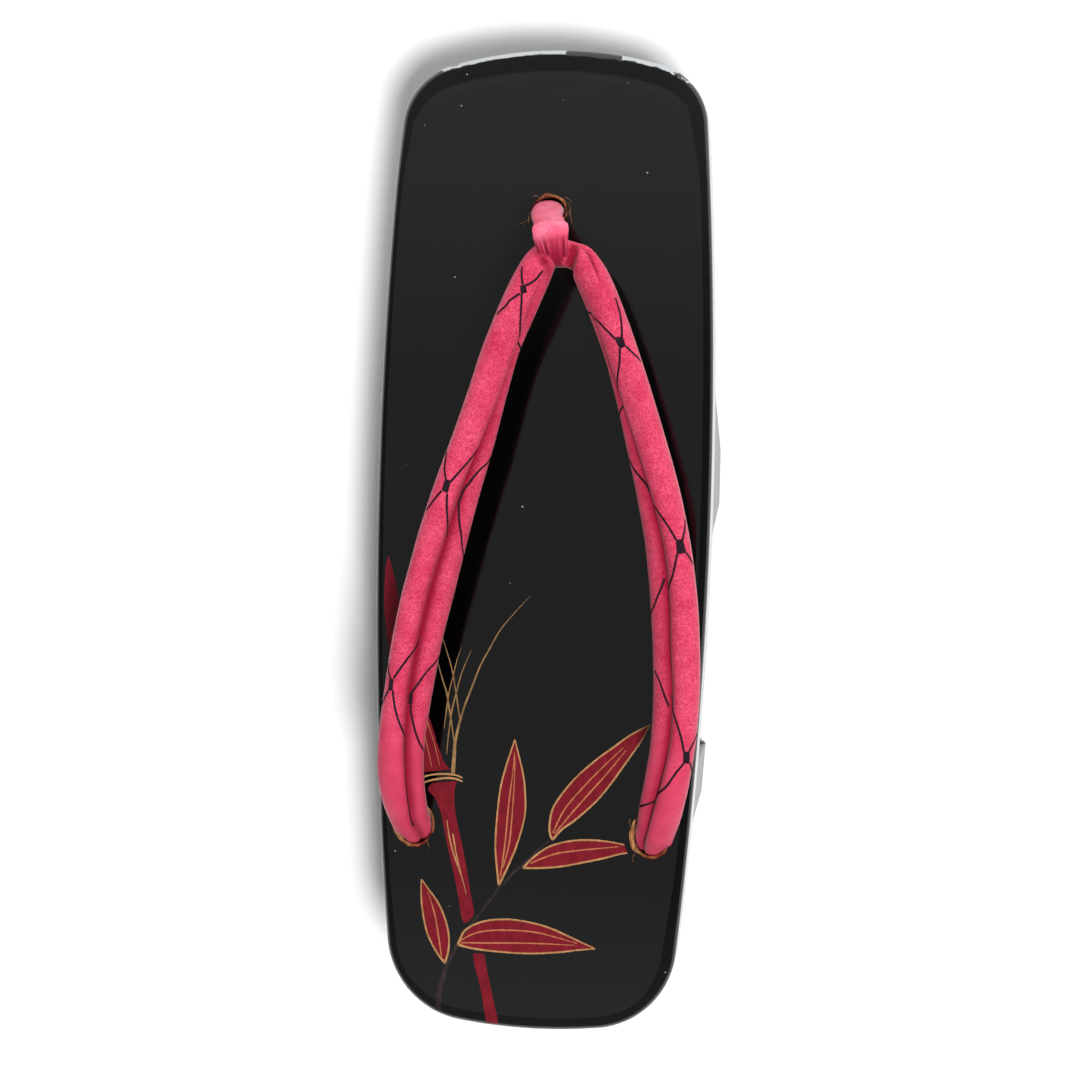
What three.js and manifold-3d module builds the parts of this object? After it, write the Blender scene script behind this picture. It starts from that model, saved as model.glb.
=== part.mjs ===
// A lacquered two-toothed geta: one carved wooden body, a V-shaped thong and the toe loop that holds it.
// Millimetres. X runs across the sandal, Y towards the toe, Z up from the floor that the teeth stand on.
// A "station" is the distance back from the toe tip, and a "height" is measured up from the deck.

import * as THREE from 'three';
import { mergeVertices } from 'three/addons/utils/BufferGeometryUtils.js';
import Module from 'manifold-3d';

const wasm = await Module();
wasm.setup();

// Body outline, seen from above: five tangent arcs on each side.
const soleLength = 230;
const soleWidth = 79;
const widestStation = 103;
const sideRadius = 1120;
const toeRadius = 92;
const toeCornerRadius = 15.5;
const heelRadius = 125;
const heelCornerRadius = 20.5;

// Deck board: its height at both ends, its thickness, and the rounding of its upper rim.
const toeDeckHeight = 35.5;
const heelDeckHeight = 48.5;
const boardThickness = 13;
const toeTipThickness = 9;
const toeSpringLength = 26;
const heelTipThickness = 10.5;
const heelSpringLength = 16;
const toeRim = { width: 7, drop: 4.2, reach: 34 };
const sideRim = { width: 3, drop: 2.6 };
const heelRim = { width: 5.5, drop: 3.4, reach: 46 };

// Teeth: where each face meets the floor and the board, as stations, and the fillet at their roots.
const frontTooth = { floorFront: 93.5, floorBack: 107, rootFront: 80, rootBack: 113 };
const rearTooth = { floorFront: 167.8, floorBack: 180.2, rootFront: 167, rootBack: 181.4 };
const rootFillet = 3;

// Holes for the thong. The rear pair is drilled down and back, to come out behind the rear tooth.
const frontHole = { aside: 0, station: 38.2, radius: 4.6, slantDeg: 0 };
const rearHole = { aside: 0.3544 * soleWidth, station: 182.4, radius: 5.3, slantDeg: 26 };
const clearance = 0.3;

// Thong: a stuffed tube, squashed to a broad oval that leans outwards, with a crease along its upper side.
const strapBroad = 12;
const strapThin = 8;
const strapRise = 18;
const strapLeanDeg = 40;
const strapCreaseDepth = 0.3;
const vertexStation = 48.5;
const vertexAside = 0.076 * soleWidth;

// Toe loop: a narrow tube from the front hole that wraps the middle of the thong.
const loopWidth = 8.2;
const loopWall = 1.9;
const loopLeanDeg = 22;
const postBroad = 2 * (frontHole.radius - clearance);
const postThin = 5.6;

// Knots under the board: squat buns with flat tops and two cord tails each.
const knot = { across: 14, length: 11.2, height: 6.5, flatShare: 0.82 };
const knotTail = { radius: 1.5, length: 11 };

const lacquer = new THREE.MeshStandardMaterial({ color: 0x0b0a0c, roughness: 0.08, metalness: 0 });
const pinkCloth = new THREE.MeshStandardMaterial({ color: 0xe2446f, roughness: 0.62, metalness: 0 });
const paleLoop = new THREE.MeshStandardMaterial({ color: 0xe8587f, roughness: 0.55, metalness: 0 });
const hempCord = new THREE.MeshStandardMaterial({ color: 0xb9a98a, roughness: 0.9, metalness: 0 });

const toeTipY = soleLength / 2;
const degrees = Math.PI / 180;

function stationY(station) {
  return toeTipY - station;
}

function deckZ(y) {
  return THREE.MathUtils.mapLinear(y, toeTipY, -toeTipY, toeDeckHeight, heelDeckHeight);
}

// Turns a closed triangle list into a solid that can be joined and cut.
function toSolid(geometry) {
  const bare = geometry.index ? geometry.toNonIndexed() : geometry;
  bare.deleteAttribute('normal');
  bare.deleteAttribute('uv');
  const merged = mergeVertices(bare, 1e-4);
  return new wasm.Manifold(new wasm.Mesh({
    numProp: 3,
    vertProperties: new Float32Array(merged.attributes.position.array),
    triVerts: new Uint32Array(merged.index.array),
  }));
}

function toMesh(solid, name, material) {
  const { vertProperties, triVerts } = solid.getMesh();
  const geometry = new THREE.BufferGeometry();
  geometry.setAttribute('position', new THREE.BufferAttribute(new Float32Array(vertProperties), 3));
  geometry.setIndex(new THREE.BufferAttribute(new Uint32Array(triVerts), 1));
  geometry.computeVertexNormals();
  const mesh = new THREE.Mesh(geometry, material);
  mesh.name = name;
  return mesh;
}

// Skins a stack of rings, each a list of Vector3 with the same count, and closes both ends with fans.
function skinRings(rings) {
  const count = rings[0].length;
  const points = rings.flat();
  const middle = (ring) => ring.reduce((sum, p) => sum.add(p), new THREE.Vector3()).divideScalar(count);
  const firstMiddle = points.push(middle(rings[0])) - 1;
  const lastMiddle = points.push(middle(rings.at(-1))) - 1;
  const lastRing = (rings.length - 1) * count;
  const triangles = [];
  for (let i = 0; i < count; i++) {
    const next = (i + 1) % count;
    for (let row = 0; row < lastRing; row += count) {
      triangles.push(row + i, row + next, row + count + next);
      triangles.push(row + i, row + count + next, row + count + i);
    }
    triangles.push(firstMiddle, next, i);
    triangles.push(lastMiddle, lastRing + i, lastRing + next);
  }
  const geometry = new THREE.BufferGeometry().setFromPoints(points);
  geometry.setIndex(triangles);
  return geometry;
}

// Of the two points where circles meet, the one further along the wanted direction of Y.
function circlesMeet(a, radiusA, b, radiusB, wantedY) {
  const unit = new THREE.Vector2().subVectors(b, a);
  const distance = unit.length();
  unit.divideScalar(distance);
  const along = (radiusA ** 2 - radiusB ** 2 + distance ** 2) / (2 * distance);
  const across = Math.sqrt(radiusA ** 2 - along ** 2) * Math.sign(unit.x) * wantedY;
  return new THREE.Vector2(a.x + unit.x * along - unit.y * across, a.y + unit.y * along + unit.x * across);
}

// The right half of the outline, from toe tip to heel tip, as arcs that share their tangents.
function outlineArcs() {
  const toe = new THREE.Vector2(0, toeTipY - toeRadius);
  const heel = new THREE.Vector2(0, heelRadius - toeTipY);
  const side = new THREE.Vector2(soleWidth / 2 - sideRadius, stationY(widestStation));
  const toeCorner = circlesMeet(toe, toeRadius - toeCornerRadius, side, sideRadius - toeCornerRadius, 1);
  const heelCorner = circlesMeet(heel, heelRadius - heelCornerRadius, side, sideRadius - heelCornerRadius, -1);
  const angle = (from, to) => Math.atan2(to.y - from.y, to.x - from.x);
  const turns = [
    Math.PI / 2,
    angle(toe, toeCorner),
    angle(side, toeCorner),
    angle(side, heelCorner),
    angle(heel, heelCorner),
    -Math.PI / 2,
  ];
  return [
    { centre: toe, radius: toeRadius, steps: 7 },
    { centre: toeCorner, radius: toeCornerRadius, steps: 8 },
    { centre: side, radius: sideRadius, steps: 12 },
    { centre: heelCorner, radius: heelCornerRadius, steps: 9 },
    { centre: heel, radius: heelRadius, steps: 6 },
  ].map((arc, i) => ({ ...arc, start: turns[i], end: turns[i + 1] }));
}

// Outline points with their outward directions, the whole way round, counter-clockwise from the heel tip.
function outlinePoints() {
  const right = outlineArcs().flatMap(({ centre, radius, start, end, steps }) => (
    Array.from({ length: steps }, (_, i) => {
      const turn = THREE.MathUtils.lerp(start, end, i / steps);
      const outward = new THREE.Vector2(Math.cos(turn), Math.sin(turn));
      return { point: centre.clone().addScaledVector(outward, radius), outward };
    })
  ));
  const toeTip = { point: new THREE.Vector2(0, toeTipY), outward: new THREE.Vector2(0, 1) };
  const heelTip = { point: new THREE.Vector2(0, -toeTipY), outward: new THREE.Vector2(0, -1) };
  const flank = right.slice(1);
  const mirror = ({ point, outward }) => ({
    point: new THREE.Vector2(-point.x, point.y),
    outward: new THREE.Vector2(-outward.x, outward.y),
  });
  return [heelTip, ...flank.toReversed(), toeTip, ...flank.map(mirror)];
}

// The rim is widest round the toe and eases into the sides, and it widens again round the heel.
function rimAt(y) {
  const toeShare = THREE.MathUtils.smoothstep(y, toeTipY - toeRim.reach, toeTipY - toeRim.width);
  const heelShare = THREE.MathUtils.smoothstep(-y, toeTipY - heelRim.reach, toeTipY - heelRim.width);
  const blend = (key) => sideRim[key]
    + (toeRim[key] - sideRim[key]) * toeShare
    + (heelRim[key] - sideRim[key]) * heelShare;
  return { width: blend('width'), drop: blend('drop') };
}

// The uncut block: the outline from the floor up to the deck, with the rim rounded as a quarter ellipse.
function blockSolid(lift = 0) {
  const outline = outlinePoints();
  const floorRing = outline.map(({ point }) => new THREE.Vector3(point.x, point.y, 0));
  const rimSteps = 5;
  const rimRings = Array.from({ length: rimSteps + 1 }, (_, i) => {
    const turn = (i / rimSteps) * Math.PI / 2;
    return outline.map(({ point, outward }) => {
      const rim = rimAt(point.y);
      const inset = point.clone().addScaledVector(outward, -rim.width * (1 - Math.cos(turn)));
      return new THREE.Vector3(inset.x, inset.y, deckZ(inset.y) - rim.drop * (1 - Math.sin(turn)) + lift);
    });
  });
  return toSolid(skinRings([floorRing, ...rimRings]));
}

function undersideZ(station) {
  return deckZ(stationY(station)) - boardThickness;
}

// How far cuts run past the block on every side.
const beyondEnd = 12;
const belowFloor = -beyondEnd;

// A side profile in stations and heights, sawn straight across the block.
function sawnAcross(drawProfile) {
  const sawWidth = soleWidth + 2 * beyondEnd;
  const shape = drawProfile(new THREE.Shape());
  const cut = new THREE.ExtrudeGeometry(shape, { depth: sawWidth, bevelEnabled: false, curveSegments: 5 });
  // The shape's x is a station and its y a height: stand it up along Z and send stations along -Y.
  cut.applyMatrix4(new THREE.Matrix4().makeBasis(
    new THREE.Vector3(0, -1, 0), new THREE.Vector3(0, 0, 1), new THREE.Vector3(-1, 0, 0),
  ));
  cut.translate(sawWidth / 2, toeTipY, 0);
  return toSolid(cut);
}


// Draws one face of a tooth and the fillet at its root. Away is -1 if the void lies towards the toe, else 1.
function drawToothFace(shape, floorStation, rootStation, away, upwards) {
  const rootZ = undersideZ(rootStation);
  const filletZ = rootZ - rootFillet;
  const filletStation = THREE.MathUtils.lerp(floorStation, rootStation, filletZ / rootZ);
  const boardStation = rootStation + away * rootFillet;
  const points = [
    [floorStation, belowFloor], [floorStation, 0], [filletStation, filletZ], [rootStation, rootZ],
    [boardStation, undersideZ(boardStation)],
  ];
  const [first, second, third, corner, last] = upwards ? points : points.toReversed();
  shape[upwards ? 'moveTo' : 'lineTo'](...first);
  if (upwards) {
    shape.lineTo(...second);
    shape.lineTo(...third);
    shape.quadraticCurveTo(...corner, ...last);
  } else {
    shape.quadraticCurveTo(...second, ...third);
    shape.lineTo(...corner);
    shape.lineTo(...last);
  }
}

function toeVoid() {
  return sawnAcross((shape) => {
    const tipZ = toeDeckHeight - toeTipThickness;
    drawToothFace(shape, frontTooth.floorFront, frontTooth.rootFront, -1, true);
    shape.lineTo(toeSpringLength, undersideZ(toeSpringLength));
    shape.quadraticCurveTo(toeSpringLength / 2, undersideZ(toeSpringLength / 2), 0, tipZ);
    shape.lineTo(-beyondEnd, tipZ);
    shape.lineTo(-beyondEnd, belowFloor);
    return shape;
  });
}

function archVoid() {
  return sawnAcross((shape) => {
    drawToothFace(shape, frontTooth.floorBack, frontTooth.rootBack, 1, true);
    drawToothFace(shape, rearTooth.floorFront, rearTooth.rootFront, -1, false);
    return shape;
  });
}

function heelVoid() {
  return sawnAcross((shape) => {
    const tipZ = heelDeckHeight - heelTipThickness;
    const springStation = soleLength - heelSpringLength;
    const springMiddle = soleLength - heelSpringLength / 2;
    drawToothFace(shape, rearTooth.floorBack, rearTooth.rootBack, 1, true);
    shape.lineTo(springStation, undersideZ(springStation));
    shape.quadraticCurveTo(springMiddle, undersideZ(springMiddle), soleLength, tipZ);
    shape.lineTo(soleLength + beyondEnd, tipZ);
    shape.lineTo(soleLength + beyondEnd, belowFloor);
    return shape;
  });
}

// Everything lower than the board's flat underside.
function underBoard() {
  return sawnAcross((shape) => {
    shape.moveTo(-beyondEnd, belowFloor);
    shape.lineTo(-beyondEnd, undersideZ(-beyondEnd));
    shape.lineTo(soleLength + beyondEnd, undersideZ(soleLength + beyondEnd));
    shape.lineTo(soleLength + beyondEnd, belowFloor);
    return shape;
  });
}

// A drilled hole's axis: its middle on the deck, its direction down, and its depth to the underside.
function holeAxis({ aside, station, slantDeg }, side) {
  const y = stationY(station);
  const top = new THREE.Vector3(side * aside, y, deckZ(y));
  const down = new THREE.Vector3(0, -Math.sin(slantDeg * degrees), -Math.cos(slantDeg * degrees));
  const deckSlope = (toeDeckHeight - heelDeckHeight) / soleLength;
  const depth = boardThickness / (deckSlope * down.y - down.z);
  return { top, down, depth };
}

function rodAlong(from, direction, length, radius, sides) {
  const rod = new THREE.CylinderGeometry(radius, radius, length, sides);
  rod.applyQuaternion(new THREE.Quaternion().setFromUnitVectors(new THREE.Vector3(0, 1, 0), direction));
  const middle = from.clone().addScaledVector(direction, length / 2);
  rod.translate(middle.x, middle.y, middle.z);
  return toSolid(rod);
}

const holes = [{ hole: frontHole, side: 0 }, { hole: rearHole, side: -1 }, { hole: rearHole, side: 1 }];

function drilled(solid, narrower = 0) {
  return holes.reduce((left, { hole, side }) => {
    const { top, down } = holeAxis(hole, side);
    const start = top.clone().addScaledVector(down, -boardThickness);
    return left.subtract(rodAlong(start, down, 3 * boardThickness, hole.radius - narrower, 28));
  }, solid);
}

function daiSolid() {
  const sawn = blockSolid().subtract(toeVoid()).subtract(archVoid()).subtract(heelVoid());
  return drilled(sawn);
}

// What thong and loop stay clear of: the block, its deck raised and its holes narrowed by the gap, and
// all that lies under the board.
function keepClear() {
  return drilled(blockSolid(clearance), clearance).add(underBoard());
}

// One half of the thong, from the vertex at the toe to the far side of a rear hole. Each row's lengths are
// shares: along runs from vertex to rear hole, out is of the hole's distance from the middle, aside of the
// vertex's sideways set, rise of strapRise, broad and thin of the tube's size, lean and crease of theirs.
const strapRows = [
  { along: 0.000, out: -0.04, aside: 0.62, rise: 0.98, broad: 0.60, thin: 0.72, lean: 1.50, crease: 0.00 },
  { along: 0.006, out: 0.07, aside: 0.72, rise: 1.02, broad: 0.64, thin: 0.78, lean: 1.50, crease: 0.00 },
  { along: 0.028, out: 0.18, aside: 0.96, rise: 1.05, broad: 0.70, thin: 0.90, lean: 1.45, crease: 0.15 },
  { along: 0.076, out: 0.30, aside: 1.00, rise: 1.05, broad: 0.74, thin: 0.94, lean: 1.40, crease: 0.25 },
  { along: 0.160, out: 0.46, aside: 1.00, rise: 1.04, broad: 0.76, thin: 0.92, lean: 1.35, crease: 0.45 },
  { along: 0.240, out: 0.58, aside: 1.03, rise: 1.02, broad: 0.82, thin: 0.92, lean: 1.25, crease: 0.75 },
  { along: 0.325, out: 0.70, aside: 1.04, rise: 1.00, broad: 0.90, thin: 0.95, lean: 1.15, crease: 1.00 },
  { along: 0.405, out: 0.81, aside: 1.01, rise: 0.98, broad: 0.96, thin: 0.98, lean: 1.05, crease: 1.00 },
  { along: 0.490, out: 0.91, aside: 0.94, rise: 0.95, broad: 1.00, thin: 1.00, lean: 1.00, crease: 1.00 },
  { along: 0.575, out: 0.99, aside: 0.84, rise: 0.91, broad: 1.02, thin: 1.00, lean: 0.95, crease: 1.00 },
  { along: 0.660, out: 1.05, aside: 0.70, rise: 0.86, broad: 1.00, thin: 1.00, lean: 0.90, crease: 1.00 },
  { along: 0.745, out: 1.09, aside: 0.55, rise: 0.79, broad: 0.97, thin: 1.00, lean: 0.85, crease: 1.00 },
  { along: 0.825, out: 1.11, aside: 0.38, rise: 0.70, broad: 0.93, thin: 1.00, lean: 0.80, crease: 1.00 },
  { along: 0.890, out: 1.10, aside: 0.22, rise: 0.58, broad: 0.90, thin: 0.98, lean: 0.65, crease: 0.90 },
  { along: 0.945, out: 1.07, aside: 0.10, rise: 0.37, broad: 0.87, thin: 0.98, lean: 0.40, crease: 0.70 },
  { along: 0.985, out: 1.03, aside: 0.02, rise: 0.10, broad: 0.83, thin: 1.05, lean: 0.15, crease: 0.45 },
];
const strapStepsPerRow = 3;
const strapSectionPoints = 20;
const insideHoleDepths = [0.35, 0.65, 1.2];

// Catmull-Rom through the rows' named columns.
function smoothRow(rows, index, share) {
  const [a, b, c, d] = [-1, 0, 1, 2].map((step) => rows[THREE.MathUtils.clamp(index + step, 0, rows.length - 1)]);
  const blend = (key) => 0.5 * (
    2 * b[key]
    + (c[key] - a[key]) * share
    + (2 * a[key] - 5 * b[key] + 4 * c[key] - d[key]) * share ** 2
    + (3 * b[key] - a[key] - 3 * c[key] + d[key]) * share ** 3
  );
  return Object.fromEntries(Object.keys(b).map((key) => [key, blend(key)]));
}

function strapStations(side) {
  const reach = rearHole.station - vertexStation;
  const onDeck = strapRows.slice(0, -1).flatMap((_, i) => (
    Array.from({ length: strapStepsPerRow }, (__, step) => smoothRow(strapRows, i, step / strapStepsPerRow))
  ));
  const above = [...onDeck, strapRows.at(-1)].map((row) => {
    const y = stationY(vertexStation + reach * row.along);
    const x = side * rearHole.aside * row.out + vertexAside * row.aside;
    return { ...row, centre: new THREE.Vector3(x, y, deckZ(y) + strapRise * row.rise) };
  });
  const { top, down, depth } = holeAxis(rearHole, side);
  const inHole = insideHoleDepths.map((share) => ({
    ...strapRows.at(-1),
    lean: 0,
    crease: 0,
    centre: top.clone().addScaledVector(down, share * depth),
  }));
  return [...above, ...inHole];
}

// The tube's section: an oval whose upper side is pressed in by the crease.
const creaseTurnDeg = 76;
const creaseSpreadDeg = 20;

function strapRing({ centre, broad, thin, lean, crease }, forward, side, grow) {
  const outward = new THREE.Vector3().crossVectors(forward, new THREE.Vector3(0, 0, 1)).normalize();
  outward.multiplyScalar(Math.sign(outward.x) === side ? 1 : -1);
  const up = new THREE.Vector3().crossVectors(outward, forward).normalize();
  up.multiplyScalar(up.z < 0 ? -1 : 1);
  const tilt = strapLeanDeg * lean * degrees;
  return Array.from({ length: strapSectionPoints }, (_, i) => {
    const turn = (i / strapSectionPoints) * 2 * Math.PI;
    const fromCrease = (turn / degrees - creaseTurnDeg) / creaseSpreadDeg;
    const pressed = 1 - strapCreaseDepth * crease * Math.exp(-(fromCrease ** 2));
    const across = (strapBroad / 2 * broad * pressed + grow) * Math.cos(turn);
    const over = (strapThin / 2 * thin * pressed + grow) * Math.sin(turn);
    return centre.clone()
      .addScaledVector(outward, across * Math.cos(tilt) - over * Math.sin(tilt))
      .addScaledVector(up, across * Math.sin(tilt) + over * Math.cos(tilt));
  });
}

function strapHalf(side, grow = 0) {
  const stations = strapStations(side);
  const rings = stations.map((station, i) => {
    const last = stations.length - 1;
    const forward = new THREE.Vector3()
      .subVectors(stations[Math.min(i + 1, last)].centre, stations[Math.max(i - 1, 0)].centre)
      .normalize();
    const beyond = grow * ((i === last) - (i === 0));
    const centre = station.centre.clone().addScaledVector(forward, beyond);
    return strapRing({ ...station, centre }, forward, side, grow);
  });
  const half = toSolid(skinRings(rings));
  return half.volume() < 0 ? toSolid(skinRings(rings.map((ring) => ring.toReversed()))) : half;
}

function thongSolid(grow = 0) {
  return strapHalf(-1, grow).add(strapHalf(1, grow));
}

function hanaoSolid() {
  return thongSolid().subtract(keepClear());
}

// The toe loop's middle line, from under the board up to the sleeve round the thong's vertex.
function loopCentre() {
  const y = stationY(vertexStation);
  return new THREE.Vector3(vertexAside * strapRows[0].aside, y, deckZ(y) + strapRise * strapRows[0].rise);
}

function postSolid() {
  const { top, down, depth } = holeAxis(frontHole, 0);
  const sleeve = loopCentre();
  const bottom = top.clone().addScaledVector(down, depth);
  const rim = top.clone().addScaledVector(down, -1);
  const bend = rim.clone().lerp(sleeve, 0.45);
  bend.z -= 1;
  const path = new THREE.CatmullRomCurve3([bottom, top.clone().addScaledVector(down, depth / 2), rim, bend, sleeve]);
  const section = new THREE.Shape().absellipse(0, 0, postThin / 2, postBroad / 2, 0, 2 * Math.PI);
  const post = new THREE.ExtrudeGeometry(section, { steps: 12, extrudePath: path, curveSegments: 10 });
  return toSolid(post);
}

// The sleeve wraps the vertex: an oval seen from the side, as wide across as the loop.
function sleeveSolid() {
  const { x, y, z } = loopCentre();
  const halfDepth = strapThin * strapRows[0].thin / 2 + loopWall + clearance;
  const halfHeight = strapBroad * strapRows[0].broad / 2 + loopWall + clearance;
  const oval = new THREE.Shape().absellipse(0, 0, halfDepth, halfHeight, 0, 2 * Math.PI, false, loopLeanDeg * degrees);
  const round = 1.1;
  const sleeve = new THREE.ExtrudeGeometry(oval, {
    depth: loopWidth - 2 * round, bevelEnabled: true, bevelSize: round, bevelOffset: -round,
    bevelThickness: round, bevelSegments: 2, curveSegments: 10,
  });
  sleeve.rotateY(Math.PI / 2).rotateX(Math.PI / 2);
  sleeve.translate(x - loopWidth / 2 + round, y, z);
  return toSolid(sleeve);
}

// The thong, grown and also shifted each way by the clearance, so that its tight bends keep the gap too.
function thongRoom() {
  const plain = thongSolid();
  const steps = [-1, 0, 1];
  const ways = steps.flatMap((x) => steps.flatMap((y) => steps.map((z) => new THREE.Vector3(x, y, z))));
  return ways.reduce(
    (room, way) => room.add(plain.translate(way.setLength(clearance).toArray())),
    thongSolid(clearance),
  );
}

function maetsuboSolid() {
  return postSolid().add(sleeveSolid()).subtract(thongRoom()).subtract(keepClear());
}

// A knot drawn up against the board's underside, where its hole comes out.
function knotSolid(hole, side) {
  const { top, down, depth } = holeAxis(hole, side);
  const seat = top.clone().addScaledVector(down, depth);
  const boardTilt = -Math.atan2(heelDeckHeight - toeDeckHeight, soleLength);
  const profile = [
    [0, -1], [0.6, -0.97], [0.9, -0.8], [1, -0.5], [0.96, -0.22], [knot.flatShare, 0], [0, 0],
  ].map(([out, over]) => new THREE.Vector2(out, over));
  const bun = new THREE.LatheGeometry(profile, 20);
  bun.scale(knot.across / 2, knot.height, knot.length / 2);
  bun.rotateX(Math.PI / 2 + boardTilt);
  bun.translate(seat.x, seat.y, seat.z - clearance);
  const middle = new THREE.Vector3(seat.x, seat.y, seat.z - clearance - knot.height / 2);
  const tails = [-1, 1].map((turn) => {
    const direction = new THREE.Vector3(turn * 0.8, -0.25, -0.35).normalize();
    return rodAlong(middle, direction, knotTail.length, knotTail.radius, 8);
  });
  return tails.reduce((whole, tail) => whole.add(tail), toSolid(bun));
}

const geta = new THREE.Group();
geta.name = 'geta';
geta.add(toMesh(daiSolid(), 'dai', lacquer));
geta.add(toMesh(hanaoSolid(), 'hanao', pinkCloth));
geta.add(toMesh(maetsuboSolid(), 'maetsubo', paleLoop));
geta.add(toMesh(knotSolid(frontHole, 0), 'front_knot', hempCord));
geta.add(toMesh(knotSolid(rearHole, -1), 'rear_knot_left', hempCord));
geta.add(toMesh(knotSolid(rearHole, 1), 'rear_knot_right', hempCord));

export default geta;
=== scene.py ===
"""A black lacquered geta with a pink padded thong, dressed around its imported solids.

Lengths are in millimetres until a mesh is made. X runs across, Y towards the toe, Z up. A station is the
distance back from the toe tip, and a height is measured up from the deck.
"""
import bpy
import math
import numpy as np
from mathutils import Matrix, Vector


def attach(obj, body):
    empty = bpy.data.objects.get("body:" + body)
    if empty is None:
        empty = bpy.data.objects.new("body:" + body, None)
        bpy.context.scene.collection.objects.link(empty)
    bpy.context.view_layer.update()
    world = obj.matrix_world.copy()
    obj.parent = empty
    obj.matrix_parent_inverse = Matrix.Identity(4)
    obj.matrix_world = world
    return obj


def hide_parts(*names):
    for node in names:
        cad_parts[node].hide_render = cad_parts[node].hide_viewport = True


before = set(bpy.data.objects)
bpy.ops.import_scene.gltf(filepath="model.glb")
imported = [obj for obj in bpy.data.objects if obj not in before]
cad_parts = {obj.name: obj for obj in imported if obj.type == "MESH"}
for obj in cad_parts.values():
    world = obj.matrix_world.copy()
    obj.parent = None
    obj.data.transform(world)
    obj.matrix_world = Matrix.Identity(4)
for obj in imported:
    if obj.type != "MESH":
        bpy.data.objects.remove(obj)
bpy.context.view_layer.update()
MM = 0.001

# Body, as in the solids
SOLE_LENGTH = 230
SOLE_WIDTH = 79
WIDEST_STATION = 103
SIDE_RADIUS = 1120
TOE_RADIUS = 92
TOE_CORNER = 15.5
HEEL_RADIUS = 125
HEEL_CORNER = 20.5
TOE_DECK = 35.5
HEEL_DECK = 48.5
BOARD = 13
TOE_TIP_BOARD = 9
TOE_SPRING = 26
HEEL_TIP_BOARD = 10.5
HEEL_SPRING = 16
TOE_RIM = {"width": 7, "drop": 4.2, "reach": 34}
SIDE_RIM = {"width": 3, "drop": 2.6}
HEEL_RIM = {"width": 5.5, "drop": 3.4, "reach": 46}
FRONT_TOOTH = {"floor_front": 93.5, "floor_back": 107, "root_front": 80, "root_back": 113}
REAR_TOOTH = {"floor_front": 167.8, "floor_back": 180.2, "root_front": 167, "root_back": 181.4}
ROOT_FILLET = 3
EDGE_BEVEL = 0.45
BEVEL_ANGLE = 38
# How far the cutters go past the body: in front, behind and below, and to each side of the middle
SAW_PAST = 12
SAW_REACH = 60
FRONT_HOLE = {"aside": 0, "station": 38.2, "slant": 0}
REAR_HOLE = {"aside": 28, "station": 182.4, "slant": 26}
# Half width and half length of each hole's mouth, where the lacquer is broken, and of its throat
FRONT_MOUTH = {"wide": 4.2, "long": 4.15, "throat_wide": 3.6, "throat_long": 3.4}
REAR_MOUTH = {"wide": 5.0, "long": 5.75, "throat_wide": 4.0, "throat_long": 4.6}
TIP_Y = SOLE_LENGTH / 2


def station_y(station):
    return TIP_Y - station


def deck_z(y):
    return TOE_DECK + (HEEL_DECK - TOE_DECK) * (TIP_Y - y) / SOLE_LENGTH


def smoothstep(value, low, high):
    share = np.clip((value - low) / (high - low), 0, 1)
    return share * share * (3 - 2 * share)


# Mesh helpers

def new_object(name, points, faces, material, uvs=None):
    mesh = bpy.data.meshes.new(name)
    mesh.from_pydata([tuple(float(c) * MM for c in p) for p in points], [], [tuple(f) for f in faces])
    mesh.validate()
    mesh.update()
    if uvs is not None:
        layer = mesh.uv_layers.new(name="uv")
        for loop in mesh.loops:
            layer.data[loop.index].uv = uvs[loop.vertex_index]
    obj = bpy.data.objects.new(name, mesh)
    bpy.context.collection.objects.link(obj)
    mesh.materials.append(material)
    for polygon in mesh.polygons:
        polygon.use_smooth = True
    return obj


def mark(obj, name, values):
    """Keeps a number for each point of the object's mesh, for its material to read."""
    layer = obj.data.attributes.new(name, "FLOAT", "POINT")
    layer.data.foreach_set("value", np.asarray(values, np.float32).ravel())


def ring_faces(rows, count, closed=True):
    """Quads between neighbouring rings, or rows where not closed, of the same count."""
    faces = []
    last = count if closed else count - 1
    for row in range(rows - 1):
        for i in range(last):
            j = (i + 1) % count
            faces.append((row * count + i, row * count + j, (row + 1) * count + j, (row + 1) * count + i))
    return faces


def tidy_normals(obj):
    bpy.context.view_layer.objects.active = obj
    obj.select_set(True)
    bpy.ops.object.mode_set(mode="EDIT")
    bpy.ops.mesh.select_all(action="SELECT")
    bpy.ops.mesh.normals_make_consistent(inside=False)
    bpy.ops.object.mode_set(mode="OBJECT")
    obj.select_set(False)


def lofted(name, rings, material, uvs=None):
    """A closed object through a stack of rings, with both ends filled."""
    count = len(rings[0])
    faces = ring_faces(len(rings), count)
    faces.append(tuple(reversed(range(count))))
    faces.append(tuple(range((len(rings) - 1) * count, len(rings) * count)))
    made = new_object(name, np.concatenate(rings), faces, material, uvs)
    tidy_normals(made)
    return made


def bake(obj):
    """Applies the object's modifiers to its mesh."""
    graph = bpy.context.evaluated_depsgraph_get()
    mesh = bpy.data.meshes.new_from_object(obj.evaluated_get(graph))
    obj.modifiers.clear()
    obj.data = mesh


def cut(obj, cutter):
    modifier = obj.modifiers.new("cut", "BOOLEAN")
    modifier.object = cutter
    modifier.solver = "EXACT"
    modifier.material_mode = "TRANSFER"
    bake(obj)
    bpy.data.objects.remove(cutter)


# Material helpers

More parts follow.
